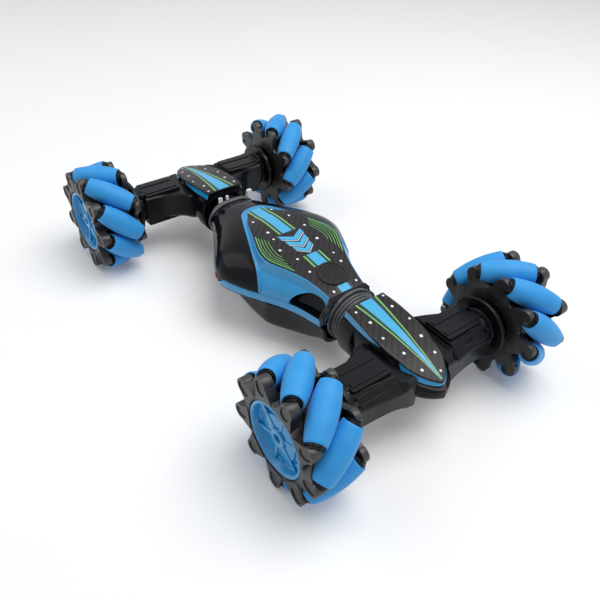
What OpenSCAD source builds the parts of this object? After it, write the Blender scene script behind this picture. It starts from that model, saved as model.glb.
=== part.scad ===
// Remote-controlled stunt car: a double-sided body between two axle modules that twist,
// on four wheels whose free barrel rollers let the car drive sideways.
// X points to the front, Y to the car's left and Z up. The floor is Z = 0.

/* [Layout] */
// Distance between the front and rear axles
wheelbase = 333; // [325:1:350]
// Distance between the middle planes of the left and right wheels
track = 212.6; // [209:0.2:220]
// Half the length of the body between its neck rings
body_half = 92; // [88:0.5:94]

/* [Wheels] */
// Diameter of the circle that the rollers run on
wheel_d = 104; // [103.6:0.1:108]
// Diameter of a roller at its middle
roller_d = 21.2; // [19.6:0.1:21.2]
// Angle between a roller's axis and the wheel's axis
roller_tilt = 44; // [40:0.5:44.5]
// Length of a roller's foam sleeve
sleeve_len = 44; // [40:0.5:45]
// Rounding at the ends of the sleeve
sleeve_edge = 0.8; // [0.4:0.1:1.2]
// Radius of the ring that closes the sleeve
sleeve_ring_r = 6.4; // [5.8:0.1:6.6]
// Thickness of that ring
sleeve_ring_t = 1.4; // [1:0.1:1.6]
// Radius of a roller's end collar
collar_r = 5.2; // [4:0.1:5.6]
// Thickness of a roller's end collar
collar_t = 1.6; // [1.2:0.1:1.8]
// Diameter of the steel pin that a roller turns on
pin_d = 3; // [2.5:0.1:3.5]
// Turn of the rear and front wheels at rest
wheel_phase = 16.4; // [0:0.1:40]
// Reach of the lugs from the wheel's axis
lug_tip_r = 49.6; // [48.5:0.1:50.2]
// Width of a lug at its tip
lug_w = 12.6; // [11:0.2:14]
// Width of a lug at its root
lug_root_w = 20; // [16:0.2:21]
// Height of the outer lug faces from the wheel's middle plane
lug_out = 23.6; // [23:0.1:26]
// Height of the inner lug faces from the wheel's middle plane
lug_in = 20.7; // [20:0.1:21]
// Depth of the oval dish in an outer lug
pocket_depth = 0.8; // [0.4:0.1:0.9]
// Width of the oval dish
pocket_w = 9; // [7:0.1:9.6]
// Radius of the rim's barrel
barrel_r = 26; // [24:0.2:27]
// Radius of the coloured hub cap
cap_r = 30.3; // [29:0.1:30.6]
// Depth of the hub cap's seat below the outer lug faces
cap_seat = 7.4; // [6.5:0.1:8]
// Radius of the axle stub that the gearbox drives
stub_r = 3; // [2.5:0.1:3.5]

/* [Body] */
// Half width of the body at its widest
body_w = 66; // [62:0.5:68]
// Height of the body above the axles
body_up = 33.4; // [32:0.1:34]
// Depth of the body below the axles
body_down = 33.5; // [32:0.1:34]
// Half width of the lower tub
tub_w = 48; // [46:0.5:50]
// Thickness of the body shells
shell_t = 2.8; // [2.4:0.1:3.2]
// Thickness of the deck panel and the rear canopy
panel_t = 1.3; // [1:0.05:1.4]
// Half width of the deck panel at its widest
deck_w = 39.6; // [37:0.2:41]
// Width of the blue rim round the deck panel
deck_rim = 1.4; // [1:0.1:2]
// Radius of the speaker grille
speaker_r = 12.6; // [10:0.1:13]
// Height of the top of the blue sill above the axles
sill_top = 1.8; // [1:0.1:3]
// Depth of the foot of the blue sill below the axles
sill_foot = 5.6; // [5:0.1:6.5]
// Radius of the ribs on the front neck ring
neck_rib_r = 22.8; // [22:0.1:24]
// Half width of the oval lip of the rear neck ring
rear_lip_w = 26.4; // [25:0.1:28]
// Half height of that lip
rear_lip_h = 18.6; // [18.4:0.1:20]
// Radius of the shaft that a module twists on
spigot_r = 8; // [6:0.1:9]

/* [Modules] */
// Width of a module's nose
nose_w = 48; // [46:0.5:52]
// Reach of the nose beyond the axle
nose_reach = 41; // [36:0.5:46]
// Height of a module's deck above the axles at its neck
neck_h = 24.2; // [23:0.1:25]
// Height of that deck behind the axle
deck_mid_h = 20.4; // [19:0.1:21.5]
// Height of that deck before the axle
deck_front_h = 14.2; // [13:0.1:15]
// Height of that deck near its tip
brow_h = 10.6; // [9.5:0.1:11.5]
// Height of the tip of the nose
nose_h = 7; // [6:0.1:8]
// Depth of a module below the axles at its neck
keel_neck_h = 22; // [21:0.1:24]
// Depth of a module behind the axle
keel_mid_h = 13.8; // [13:0.1:15]
// Depth of a module before the axle
keel_front_h = 9.5; // [8.5:0.1:11]
// Depth of the tip of the nose
keel_tip_h = 5.5; // [4.5:0.1:6.5]
// Radius of the drum behind a module's deck
drum_r = 27; // [26:0.1:28]
// Thickness of the module shells
mod_wall = 2; // [1.6:0.1:2.4]
// Half height of an arm
arm_h = 14.6; // [14:0.1:16]
// Reach of an arm's box from the middle of the car
arm_reach = 52; // [50:0.2:54]
// Radius of the round gearbox collar on an arm
gear_collar_r = 20; // [19.6:0.1:23]
// Reach of the gearbox collar from the middle of the car
gear_collar_reach = 68; // [66:0.2:70]
// Radius of a drive motor
motor_r = 9; // [8:0.1:9.4]

/* [Power] */
// Length of the battery door
door_l = 72; // [66:0.5:76]
// Width of the battery door
door_w = 38; // [34:0.5:42]
// Length of the battery pack
pack_l = 58; // [50:0.5:62]
// Width of the battery pack
pack_w = 30; // [26:0.5:32]
// Height of the battery pack
pack_h = 17; // [14:0.5:18]
// Length of the circuit board
board_l = 64; // [56:0.5:66]
// Width of the circuit board
board_w = 50; // [44:0.5:54]
// Sideways travel of the power switch
switch_travel = 4; // [3:0.2:5]

/* [Hidden] */
$fn = 64;
rollers = 9;
eps = 0.01;
fit = 0.3;
run = 0.05;
big = 600;

axle_z = wheel_d / 2;
axle_u = wheelbase / 2;
wheel_y = track / 2;
roller_c = wheel_d / 2 - roller_d / 2;
pitch = 360 / rollers;
sleeve_h = sleeve_len / 2;
roller_h = sleeve_h + sleeve_ring_t + collar_t;
end_gap = 0.4;
side_gap = 0.8;
lug_s = 27;
lug_a = atan(lug_s * sin(roller_tilt) / roller_c);
pin_in = (lug_in - 0.8) / cos(roller_tilt);
pin_out = 29;
flange_r = cap_r + 3.7;
flange_t = 4;
flange_hold = 3;
lug_inset = 0.4;
cap_z = lug_out - cap_seat;
stub_reach = wheel_y - 67;
hub_r = 9;
web_z = 8;

ring_u = body_half + fit;
bulkhead_t = 2.5;
ring_web = 2.7;
ring_len = 13.7;
ring_in_r = 15.9;
ring_base_r = 21.2;
rear_ring_r = 17.8;
front_lip_r = 24.6;
rib_w = 2.4;
rib_step = 3.8;
neck_tube_r = ring_in_r - 0.7;
neck_u = ring_u + ring_len + 2;
neck_plate = 3;
nose_u = axle_u + nose_reach;
twist_r = 12.5;
twist_end = ring_u + ring_web - 0.4;
spigot_end = ring_u - 13;
twist_back = 70;
twist_can_r = 10;
twist_can_end = 38;

bush_r = stub_r + 3;
boot_r = bush_r + 6;
boot_end = wheel_y - lug_in - 1.3;
gear_r = gear_collar_r - 3.2;
gear_start = arm_reach - 1.5;
gear_end = gear_collar_reach - 2.5;
motor_start = 21;
motor_end = 47;
motor_neck_r = 4;
arm_in = 18;
arm_back = 33;
arm_waist = 27;
arm_front = 24;
arm_end = 20;
arm_bay = 30;
lid_l = 26;
lid_w = 27.5;
lid_t = 1.6;
lid_rib_w = 5;
lid_rib_l = 18;
lid_rib_t = 0.8;
root_end = 29.5;
root_up = motor_r + mod_wall + 0.6;
root_down = 18;
drum_end = neck_u + 18;
collar_lip = 1.6;
collar_lip_w = 3.5;
nose_shoulder = 16;
nose_waist = 14;
nose_cheek = 12;
nose_chin = 3;
waist_in = 2;
cheek_in = 7;
chin_in = 14.5;
tip_in = 20;
crown_back = 18.5;
crown_front = 13.5;
keel_back = 13.5;
keel_front = 16.5;
brow = 15;
chin = 9;
chin_drop = 1.5;

speaker_x = 0.72 * body_half;
speaker_t = 6;
speaker_rise = 0.5;
grille_hole_r = 0.8;
grille_step = 2.9;
grille_depth = 2;
pocket_gap = 0.2;
pocket_t = panel_t + pocket_gap;
sill_draft = 0.6;
ledge_t = 3;
ledge_z = axle_z - sill_foot - 0.2;
arch_x = 0.8 * body_half;
arch_l = 18.5;
arch_h = 15.5;
canopy_rear = body_half + 1;
canopy_front = 29;
canopy_edge = [[canopy_front, 51], [25, 48.4], [6, 41.6], [-24, 29], [-52, 16], [-58, 9.5]];
deck_rear = -0.57;
deck_front = 0.955;
deck_steps = 30;
door_bottom = axle_z - body_down - 0.8;
door_t = 3.4;
door_grooves = 5;
groove_step = 2.4;
groove_w = 1.2;
groove_depth = 0.6;
floor_z = axle_z - body_down + shell_t;
board_z = 46;
board_t = 1.6;
board_gap = 0.1;
chip_l = 12;
chip_h = 2;
coil_r = 4;
coil_h = 8;
post_r = 3;
post_x = board_l / 2 - 4;
post_y = board_w / 2 - 3;
switch_x = 52;
knob_l = 6;
knob_w = 4;
knob_rise = 1.2;
past = 5;
slabs = 20;
flat_slabs = 12;
arc = 16;

wheel_names = ["fr", "fl", "rr", "rl"];
function side_x(w) = w < 2 ? 1 : -1;
function side_y(w) = w % 2 == 0 ? -1 : 1;

// Smooth curve through stations given as [place, value]
function seg(t, x, i = 0) = i >= len(t) - 2 || x <= t[i + 1][0] ? i : seg(t, x, i + 1);
function slope(t, i) = i == 0 || i == len(t) - 1 ? 0 :
    (t[i + 1][1] - t[i - 1][1]) / (t[i + 1][0] - t[i - 1][0]);
function hermite(t, i, h, f) =
    (2 * f * f * f - 3 * f * f + 1) * t[i][1] + (f * f * f - 2 * f * f + f) * h * slope(t, i)
    + (3 * f * f - 2 * f * f * f) * t[i + 1][1] + (f * f * f - f * f) * h * slope(t, i + 1);
function curve(t, x) = let (i = seg(t, x), h = t[i + 1][0] - t[i][0], f = (x - t[i][0]) / h)
    hermite(t, i, h, max(0, min(1, f)));

// Body form along its length, from the rear ring at -1 to the front ring at 1
width_at = [[-1, 28], [-0.73, 39], [-0.55, 48.5], [-0.24, body_w - 2], [-0.05, body_w],
    [0.2, body_w - 9], [0.29, body_w - 13.7], [0.63, 36], [0.92, 29], [1, 28.5]];
up_at = [[-1, 18.4], [-0.88, 22.6], [-0.75, 26], [-0.5, body_up - 2.4], [-0.1, body_up - 0.8],
    [0.1, body_up - 1.6], [0.39, body_up - 5], [0.58, 26.4], [0.72, 24], [0.89, 20.6], [1, 19]];
power_at = [[-1, 2.1], [-0.65, 2.2], [-0.25, 3.2], [0.1, 2.6], [0.4, 2.3], [1, 2.2]];
flat_at = [[-0.62, body_up - 7], [-0.3, body_up - 2.1], [0, body_up - 1.6], [0.12, body_up - 2],
    [0.35, body_up - 4.2], [0.48, 28.4], [0.61, 27], [0.74, 24.9], [0.87, 22.4], [1, 19.8]];
tub_at = [[-1, 26.5], [-0.73, 36], [-0.5, 43], [-0.2, tub_w - 1], [0.36, tub_w], [0.5, 42],
    [0.63, 35.5], [0.8, 30.6], [1, 27.5]];
down_at = [[-1, 21.5], [-0.88, 27.5], [-0.7, body_down - 1.8], [-0.3, body_down], [0.5, body_down],
    [0.74, 31], [1, 25.5]];
tub_power_at = [[-1, 2.6], [-0.6, 6], [0.6, 8], [1, 4]];
deck_at = [[deck_rear, 10.4], [-0.37, 20.6], [-0.17, deck_w - 11.5], [0.09, deck_w - 2],
    [0.2, deck_w], [0.28, deck_w - 0.5], [0.48, deck_w - 9], [0.61, 25.2], [0.74, 21.6], [deck_front, 18.2]];

function power(v, p) = sign(v) * pow(abs(v), p);
function upper_section(f, x, inset, foot) =
    let (w = curve(width_at, f) - inset, u = curve(up_at, f) - inset, p = 2 / curve(power_at, f))
    concat([for (i = [0:arc]) let (a = 180 * i / arc)
            [x, w * power(cos(a), p), axle_z + u * power(sin(a), p)]],
        [[x, sill_draft - w, axle_z - foot], [x, w - sill_draft, axle_z - foot]]);
function tub_section(f, x, inset) =
    let (w = curve(tub_at, f) - inset, d = curve(down_at, f) - inset, p = 2 / curve(tub_power_at, f))
    [for (i = [0:arc]) let (a = 180 + 180 * i / arc)
        [x, w * power(cos(a), p), axle_z + d * power(sin(a), p)]];
function ledge_section(f, x) = let (w = curve(width_at, f) - sill_draft)
    [[x, -w, ledge_z], [x, ledge_t - w, ledge_z - ledge_t],
        [x, w - ledge_t, ledge_z - ledge_t], [x, w, ledge_z]];
function deck_section(f, x, inset) =
    let (w = curve(deck_at, f) + deck_rim - inset, u = axle_z + curve(flat_at, f) - inset,
        low = axle_z + sill_top, shoulder = u - deck_rim)
    [[x, w, low], [x, w, shoulder], [x, w - deck_rim, u],
        [x, deck_rim - w, u], [x, -w, shoulder], [x, -w, low]];
function deck_slope(f) = let (e = 0.05)
    atan((curve(flat_at, f - e) - curve(flat_at, f + e)) / (2 * e * body_half));

module slab(a, b) {
    n = len(a);
    hull() polyhedron(
        concat(a, b),
        concat([[for (i = [0:n - 1]) i]], [[for (i = [n - 1:-1:0]) n + i]],
            [for (i = [0:n - 1]) [i, n + i, n + (i + 1) % n, (i + 1) % n]]));
}

function station(i) = 2 * i / slabs - 1;

// The upper body's form, drawn in by inset and drawn out past its ends and foot
module upper_form(inset, past = 0) {
    foot = sill_foot + past;
    for (i = [0:slabs - 1]) {
        f0 = station(i);
        f1 = station(i + 1);
        slab(upper_section(f0, f0 * body_half, inset, foot), upper_section(f1, f1 * body_half, inset, foot));
    }
    if (past > 0) for (s = [-1, 1])
        slab(upper_section(s, s * body_half, inset, foot),
            upper_section(s, s * (body_half + past), inset, foot));
    for (i = [0:flat_slabs - 1]) {
        f0 = deck_rear + (1 - deck_rear) * i / flat_slabs;
        f1 = deck_rear + (1 - deck_rear) * (i + 1) / flat_slabs;
        x1 = f1 * body_half + (i == flat_slabs - 1 ? past : 0);
        slab(deck_section(f0, f0 * body_half, inset), deck_section(f1, x1, inset));
    }
}

// The lower tub's form, up to the height of the axles
module tub_form(inset, past = 0) {
    for (i = [0:slabs - 1]) {
        f0 = station(i);
        f1 = station(i + 1);
        slab(tub_section(f0, f0 * body_half, inset), tub_section(f1, f1 * body_half, inset));
    }
    if (past > 0) for (s = [-1, 1])
        slab(tub_section(s, s * body_half, inset), tub_section(s, s * (body_half + past), inset));
}

// The ledge on top of the tub that carries the upper body
module ledge_form()
    for (i = [0:slabs - 1]) {
        f0 = station(i);
        f1 = station(i + 1);
        slab(ledge_section(f0, f0 * body_half), ledge_section(f1, f1 * body_half));
    }

module above(z) translate([-big / 2, -big / 2, z]) cube([big, big, big]);
module below(z) translate([-big / 2, -big / 2, z - big]) cube([big, big, big]);
module both_ends() { children(); rotate([0, 0, 180]) children(); }
module both_sides() { children(); mirror([0, 1, 0]) children(); }
module along_x(u) translate([u, 0, axle_z]) rotate([0, 90, 0]) children();
module along_y(x, y) translate([x, y, axle_z]) rotate([-90, 0, 0]) children();

// Body pieces

module deck_region(grow) {
    n = deck_steps;
    side = [for (i = [0:n]) let (f = deck_rear + (deck_front - deck_rear) * i / n)
        [f * body_half + (i == 0 ? -grow : i == n ? grow : 0), curve(deck_at, f) + grow]];
    translate([0, 0, axle_z]) linear_extrude(big / 4)
        polygon(concat(side, [for (i = [n:-1:0]) [side[i][0], -side[i][1]]]));
}

module canopy_region(grow) {
    rear = -canopy_rear - grow;
    front = canopy_front + 2 + grow;
    out = body_w + 9;
    edge = [for (p = canopy_edge) [p[0] + grow, p[1] - grow]];
    translate([0, 0, axle_z + sill_top - grow]) linear_extrude(big / 4)
        polygon(concat([[rear, out], [front, out]], edge,
            [for (i = [len(edge) - 1:-1:0]) [edge[i][0], -edge[i][1]]], [[front, -out], [rear, -out]]));
}

module arch_region()
    intersection() {
        translate([arch_x, 0, axle_z + sill_top]) rotate([90, 0, 0]) scale([1, arch_h / arch_l, 1])
            cylinder(r = arch_l, h = big, center = true);
        above(axle_z + sill_top);
    }

module at_speaker()
    translate([speaker_x, 0, axle_z + curve(flat_at, speaker_x / body_half)])
        rotate([0, deck_slope(speaker_x / body_half), 0]) children();

module speaker_hole(grow)
    at_speaker() translate([0, 0, -2 * speaker_t]) cylinder(r = speaker_r + grow, h = big / 8);

module upper_shell() color("#3A93D1")
    difference() {
        upper_form(0);
        upper_form(shell_t, past);
        difference() {
            union() {
                deck_region(pocket_gap);
                canopy_region(pocket_gap);
                arch_region();
            }
            upper_form(pocket_t, past);
        }
        speaker_hole(fit);
    }

module rear_canopy() color("#1B1B1E")
    difference() {
        intersection() {
            upper_form(0);
            canopy_region(0);
        }
        upper_form(panel_t, past);
    }

module deck_panel() color("#454042")
    difference() {
        intersection() {
            upper_form(0);
            deck_region(0);
        }
        upper_form(panel_t, past);
        speaker_hole(fit);
    }

module neck_ring(lip_r, base_r, ribs) {
    along_x(0) rotate_extrude() polygon([
        [twist_r + fit, ring_u], [lip_r, ring_u], [lip_r, ring_u + ring_web], [base_r, ring_u + ring_web],
        for (i = [0:1:ribs - 1]) let (u = ring_u + ring_web + 0.6 + i * rib_step)
            each [[base_r, u], [neck_rib_r, u + 0.4], [neck_rib_r, u + rib_w], [base_r, u + rib_w + 0.4]],
        [base_r, ring_u + ring_len], [ring_in_r, ring_u + ring_len],
        [ring_in_r, ring_u + ring_web], [twist_r + fit, ring_u + ring_web]]);
}

module rear_lip()
    difference() {
        along_x(ring_u + 0.1) linear_extrude(ring_web - 0.2) {
            square([2 * rear_lip_h, 2 * (rear_lip_w - rear_lip_h)], center = true);
            for (s = [-1, 1]) translate([0, s * (rear_lip_w - rear_lip_h)]) circle(r = rear_lip_h);
        }
        along_x(0) cylinder(r = rear_ring_r - 1, h = big);
    }

module bulkheads()
    intersection() {
        tub_form(pocket_gap, bulkhead_t);
        below(ledge_z);
        both_ends() translate([body_half - 1, -big / 2, 0]) cube([bulkhead_t, big, big]);
    }

module lower_shell() color("#19191B") {
    difference() {
        union() {
            difference() {
                union() {
                    intersection() {
                        tub_form(0);
                        below(ledge_z);
                    }
                    ledge_form();
                }
                tub_form(shell_t, past);
            }
            bulkheads();
        }
        translate([-door_l / 2 - fit, -door_w / 2 - fit, 0])
            cube([door_l + 2 * fit, door_w + 2 * fit, floor_z + shell_t]);
        translate([switch_x - knob_l / 2 - fit, -knob_w / 2 - switch_travel / 2 - fit, 0])
            cube([knob_l + 2 * fit, knob_w + switch_travel + 2 * fit, floor_z + 2 * shell_t]);
        both_ends() along_x(0) cylinder(r = twist_r + 3 * fit, h = big);
    }
    neck_ring(front_lip_r, ring_base_r + eps, 3);
    rotate([0, 0, 180]) {
        neck_ring(rear_ring_r + eps, rear_ring_r, 0);
        rear_lip();
    }
    for (x = [-1, 1], y = [-1, 1])
        translate([x * post_x, y * post_y, floor_z - 1])
            cylinder(r = post_r, h = board_z - board_gap - floor_z + 1, $fn = 24);
}

module speaker() color("#151517") {
    rows = 3;
    at_speaker() difference() {
        translate([0, 0, speaker_rise - speaker_t]) cylinder(r = speaker_r, h = speaker_t);
        for (i = [-rows:rows], j = [-rows:rows])
            if (abs(i + j) <= rows)
                translate([grille_step * (i + j / 2), grille_step * j * sin(60), speaker_rise - grille_depth])
                    cylinder(r = grille_hole_r, h = 2 * grille_depth, $fn = 16);
    }
}

module battery_pack() color("#2F6FA8")
    translate([-pack_l / 2, -pack_w / 2, door_bottom + door_t + 0.2]) cube([pack_l, pack_w, pack_h]);

module battery_door() color("#1D1D20")
    difference() {
        translate([-door_l / 2, -door_w / 2, door_bottom]) cube([door_l, door_w, door_t]);
        for (i = [0:door_grooves - 1])
            translate([door_l * 3 / 8 - i * groove_step, -door_w / 4, door_bottom - eps])
                cube([groove_w, door_w / 2, groove_depth]);
    }

module circuit_board() color("#1F6B3A") {
    translate([-board_l / 2, -board_w / 2, board_z]) cube([board_l, board_w, board_t]);
    for (x = [-1, 1])
        translate([x * board_l / 4 - chip_l / 2, -chip_l * 2 / 3, board_z + board_t - eps])
            cube([chip_l, chip_l, chip_h]);
    translate([-coil_r, board_w / 5, board_z + board_t - eps]) cylinder(r = coil_r, h = coil_h);
}

module twist_motors() color("#B9BCC0")
    both_ends() along_x(0) difference() {
        union() {
            translate([0, 0, twist_can_end]) cylinder(r = twist_can_r, h = twist_back - twist_can_end + eps);
            translate([0, 0, twist_back]) cylinder(r = twist_r, h = twist_end - twist_back);
        }
        translate([0, 0, spigot_end - 1]) cylinder(r = spigot_r + run, h = big);
    }

module power_switch() color("#2A2A2D") {
    base = axle_z - curve(down_at, switch_x / body_half);
    translate([switch_x - knob_l / 2, -knob_w / 2 - switch_travel / 2, base - knob_rise])
        cube([knob_l, knob_w, shell_t + 2 * knob_rise]);
}

// Axle modules, drawn at the front end

module nose(inset) {
    w = nose_w / 2 - inset;
    n0 = neck_u + (inset > 0 ? inset + neck_plate : 0);
    n1 = nose_u - 2 * inset;
    plan = [[n0, w], [axle_u - nose_shoulder, w], [axle_u + nose_waist, w - waist_in],
        [n1 - nose_cheek, w - cheek_in], [n1 - nose_chin, w - chin_in], [n1, w - tip_in]];
    top = [[n0, neck_h - inset], [axle_u - crown_back, deck_mid_h - inset],
        [axle_u + crown_front, deck_front_h - inset], [n1 - brow, brow_h - inset], [n1, nose_h - inset]];
    keel = [[n1, inset - keel_tip_h], [n1 - chin, inset - keel_tip_h - chin_drop],
        [axle_u + keel_front, inset - keel_front_h], [axle_u - keel_back, inset - keel_mid_h],
        [n0, inset - keel_neck_h]];
    last = len(plan) - 1;
    intersection() {
        translate([0, 0, axle_z - big / 2]) linear_extrude(big)
            polygon(concat(plan, [for (i = [last:-1:0]) [plan[i][0], -plan[i][1]]]));
        translate([0, 0, axle_z]) rotate([90, 0, 0]) linear_extrude(big, center = true)
            polygon(concat(top, keel));
    }
}

module drum()
    intersection() {
        along_x(neck_u) cylinder(r = drum_r, h = drum_end - neck_u);
        below(axle_z + neck_h - 2);
    }

module arm_outer() {
    translate([0, 0, axle_z - root_down]) linear_extrude(root_down + root_up)
        polygon([[axle_u - arm_back, arm_in], [axle_u + arm_front, arm_in],
            [axle_u + arm_front - 1, root_end + 1], [axle_u - arm_waist - 2, root_end + 1]]);
    translate([0, 0, axle_z - arm_h]) linear_extrude(2 * arm_h)
        polygon([[axle_u - arm_waist - 2, root_end], [axle_u + arm_front - 1, root_end],
            [axle_u + arm_front - 2, arm_reach - 12], [axle_u + arm_end, arm_reach],
            [axle_u - arm_end, arm_reach], [axle_u - arm_waist, arm_reach - 16]]);
    for (s = [-1, 1]) {
        translate([axle_u - lid_l / 2, arm_reach - lid_w + 5.5, axle_z + s * arm_h - lid_t])
            cube([lid_l, lid_w - 4, 2 * lid_t]);
        for (x = [lid_rib_w - lid_l / 2 - 1, lid_l / 2 - lid_rib_w - 4])
            translate([axle_u + x, arm_reach - lid_rib_l - 1.5, axle_z + s * (arm_h + lid_t) - lid_rib_t])
                cube([lid_rib_w, lid_rib_l, 2 * lid_rib_t]);
    }
    along_y(axle_u, arm_reach - 4) cylinder(r = gear_collar_r, h = gear_collar_reach - arm_reach + 4);
    along_y(axle_u, gear_collar_reach - 6) cylinder(r = gear_collar_r + collar_lip, h = collar_lip_w);
    along_y(axle_u, gear_collar_reach - eps) cylinder(r = boot_r, h = boot_end - gear_collar_reach);
}

module arm_inner() {
    bay_h = root_up - mod_wall;
    translate([axle_u - arm_bay / 2, arm_in - 1, axle_z - bay_h])
        cube([arm_bay, arm_reach - arm_in - 1, 2 * bay_h]);
    along_y(axle_u, gear_start - fit - 2) cylinder(r = gear_r + fit, h = gear_end - gear_start + 2 + 2 * fit);
    along_y(axle_u, gear_end) cylinder(r = bush_r + 0.2, h = big / 4);
}

module housing() {
    difference() {
        union() {
            nose(0);
            drum();
            both_sides() arm_outer();
            along_x(ring_u + ring_web + 1) cylinder(r = neck_tube_r, h = neck_u - ring_u - ring_web);
        }
        nose(mod_wall);
        both_sides() arm_inner();
        along_x(ring_u + ring_web)
            cylinder(r = neck_tube_r - mod_wall - 0.5, h = neck_u - ring_u - ring_web - neck_plate);
    }
}

module lower_housing() {
    intersection() {
        housing();
        below(axle_z - 0.1);
    }
    along_x(spigot_end) cylinder(r = spigot_r, h = neck_u - spigot_end + 1);
}

module upper_housing()
    difference() {
        housing();
        below(axle_z + 0.1);
        along_x(0) cylinder(r = spigot_r + fit, h = neck_u + 1 + fit);
    }

module gearmotors()
    both_sides() along_y(axle_u, 0) difference() {
        union() {
            translate([0, 0, motor_start]) cylinder(r = motor_r, h = motor_end - motor_start);
            translate([0, 0, motor_end - eps]) cylinder(r = motor_neck_r, h = gear_start - motor_end + 1);
            translate([0, 0, gear_start]) cylinder(r = gear_r, h = gear_end - gear_start);
            translate([0, 0, gear_end - eps]) cylinder(r = bush_r, h = boot_end - gear_end);
        }
        translate([0, 0, gear_end + 0.2]) cylinder(r = stub_r + run, h = big / 4);
    }

module front_lower_housing() color("#1A1A1D") lower_housing();
module front_upper_housing() color("#1F1F22") upper_housing();
module front_gearmotors() color("#C9C9CC") gearmotors();
module rear_lower_housing() color("#1A1A1D") rotate([0, 0, 180]) lower_housing();
module rear_upper_housing() color("#1F1F22") rotate([0, 0, 180]) upper_housing();
module rear_gearmotors() color("#C9C9CC") rotate([0, 0, 180]) gearmotors();

// Wheels, drawn with the axle along Z and the outer side up

module at_wheel(w)
    mirror([0, side_y(w) > 0 ? 1 : 0, 0])
        translate([side_x(w) * axle_u, -wheel_y, axle_z]) rotate([90, 0, 0]) children();

module on_roller(w, k)
    rotate([0, 0, wheel_phase + k * pitch]) translate([roller_c, 0, 0])
        rotate([side_x(w) * roller_tilt, 0, 0]) children();

function barrel(s) = wheel_d / 2 - sqrt(pow(roller_c, 2) + pow(s * sin(roller_tilt), 2));

module roller(w, k) color("#4BA3EC") {
    bore = pin_d / 2 + run;
    half = sleeve_h - sleeve_edge;
    n = 5;
    low = [[bore, -roller_h], [collar_r, -roller_h], [collar_r, -roller_h + collar_t],
        [sleeve_ring_r, -roller_h + collar_t], [sleeve_ring_r, -sleeve_h],
        [barrel(sleeve_h) - sleeve_edge, -sleeve_h]];
    side = [for (i = [-n:n]) [barrel(half * i / n), half * i / n]];
    high = [for (i = [len(low) - 1:-1:0]) [low[i][0], -low[i][1]]];
    at_wheel(w) on_roller(w, k) rotate_extrude() polygon(concat(low, side, high));
}

module roller_room() {
    e = roller_h + end_gap;
    r0 = barrel(sleeve_h) + side_gap;
    r1 = sleeve_ring_r + end_gap;
    r2 = collar_r + end_gap;
    e0 = sleeve_h + end_gap;
    e1 = e0 + sleeve_ring_t;
    side = [[0, -e], [r2, -e], [r2, -e1], [r1, -e1], [r1, -e0], [r0, -e0], [r0, -sleeve_h]];
    rotate_extrude() polygon(concat(side, [[barrel(0) + side_gap, 0]],
        [for (i = [len(side) - 1:-1:0]) [side[i][0], -side[i][1]]]));
}

module lug(z0, z1)
    translate([0, 0, z0]) linear_extrude(z1 - z0) {
        tip = lug_tip_r - lug_w / 2;
        side = lug_w / 2 - lug_inset;
        root = flange_r - flange_hold;
        polygon([[root, -lug_root_w / 2], [tip, -side], [tip, side], [root, lug_root_w / 2]]);
        translate([tip, 0]) circle(d = lug_w);
    }

module lug_pocket() {
    r0 = flange_r + pocket_w / 2 + 1;
    r1 = lug_tip_r - pocket_w / 2 - 2;
    translate([0, 0, lug_out - pocket_depth]) linear_extrude(pocket_depth + 1) {
        translate([r0, -pocket_w / 2]) square([r1 - r0, pocket_w]);
        for (r = [r0, r1]) translate([r, 0]) circle(d = pocket_w);
    }
}

module rim(w) color("#2E2C2D") at_wheel(w) {
    turn = side_x(w) * lug_a;
    difference() {
        union() {
            translate([0, 0, -lug_in + 0.4]) cylinder(r = barrel_r, h = lug_in - 0.4 + cap_z);
            translate([0, 0, cap_z - flange_t]) cylinder(r = flange_r, h = lug_out - 0.6 - cap_z + flange_t);
            translate([0, 0, -lug_in + 0.4]) cylinder(r = flange_r, h = flange_t);
            for (k = [0:rollers - 1]) {
                rotate([0, 0, wheel_phase + k * pitch - turn]) lug(cap_z - 0.7, lug_out);
                rotate([0, 0, wheel_phase + k * pitch + turn]) lug(-lug_in, -lug_in + 5.2);
            }
        }
        translate([0, 0, cap_z]) cylinder(r = cap_r + fit, h = big / 4);
        translate([0, 0, -big / 4 + web_z]) difference() {
            cylinder(r = barrel_r - 3, h = big / 4);
            translate([0, 0, -eps]) cylinder(r = hub_r, h = big / 4 + 2 * eps);
        }
        for (k = [0:rollers - 1]) {
            on_roller(w, k) roller_room();
            rotate([0, 0, wheel_phase + k * pitch - turn]) lug_pocket();
        }
    }
    for (k = [0:rollers - 1])
        on_roller(w, k) translate([0, 0, -pin_in]) cylinder(r = pin_d / 2, h = pin_in + pin_out);
    translate([0, 0, -stub_reach]) cylinder(r = stub_r, h = stub_reach + web_z);
}

module hub_cap(w) color("#5AA6DC") at_wheel(w) {
    rise = cap_seat - 1.2;
    difference() {
        translate([0, 0, cap_z + 0.2]) rotate_extrude() polygon([[0, 0], [cap_r, 0], [cap_r, rise - 0.6],
            [cap_r - 0.6, rise], [cap_r - 2.2, rise], [cap_r - 3.6, 2.4], [10, 1.8], [8.6, 3.4], [0, 3.4]]);
        translate([0, 0, cap_z]) cylinder(r = 3.2, h = big / 4);
        for (i = [0:5]) rotate([0, 0, i * 60 + 12]) {
            translate([13, -2.4, cap_z]) cube([8.5, 4.8, big / 4]);
            rotate([0, 0, 30]) translate([18.5, 0, cap_z]) cylinder(r = 2.1, h = big / 4);
        }
    }
}

// Node list and drawing

roller_ids = [for (w = [0:3], k = [0:rollers - 1]) [w, k]];

lower_shell();
upper_shell();
rear_canopy();
deck_panel();
speaker();
battery_pack();
battery_door();
circuit_board();
twist_motors();
power_switch();
front_lower_housing();
front_upper_housing();
front_gearmotors();
rear_lower_housing();
rear_upper_housing();
rear_gearmotors();
for (w = [0:3]) rim(w);
for (w = [0:3]) hub_cap(w);
for (id = roller_ids)
    roller(id[0], id[1]);
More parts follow.
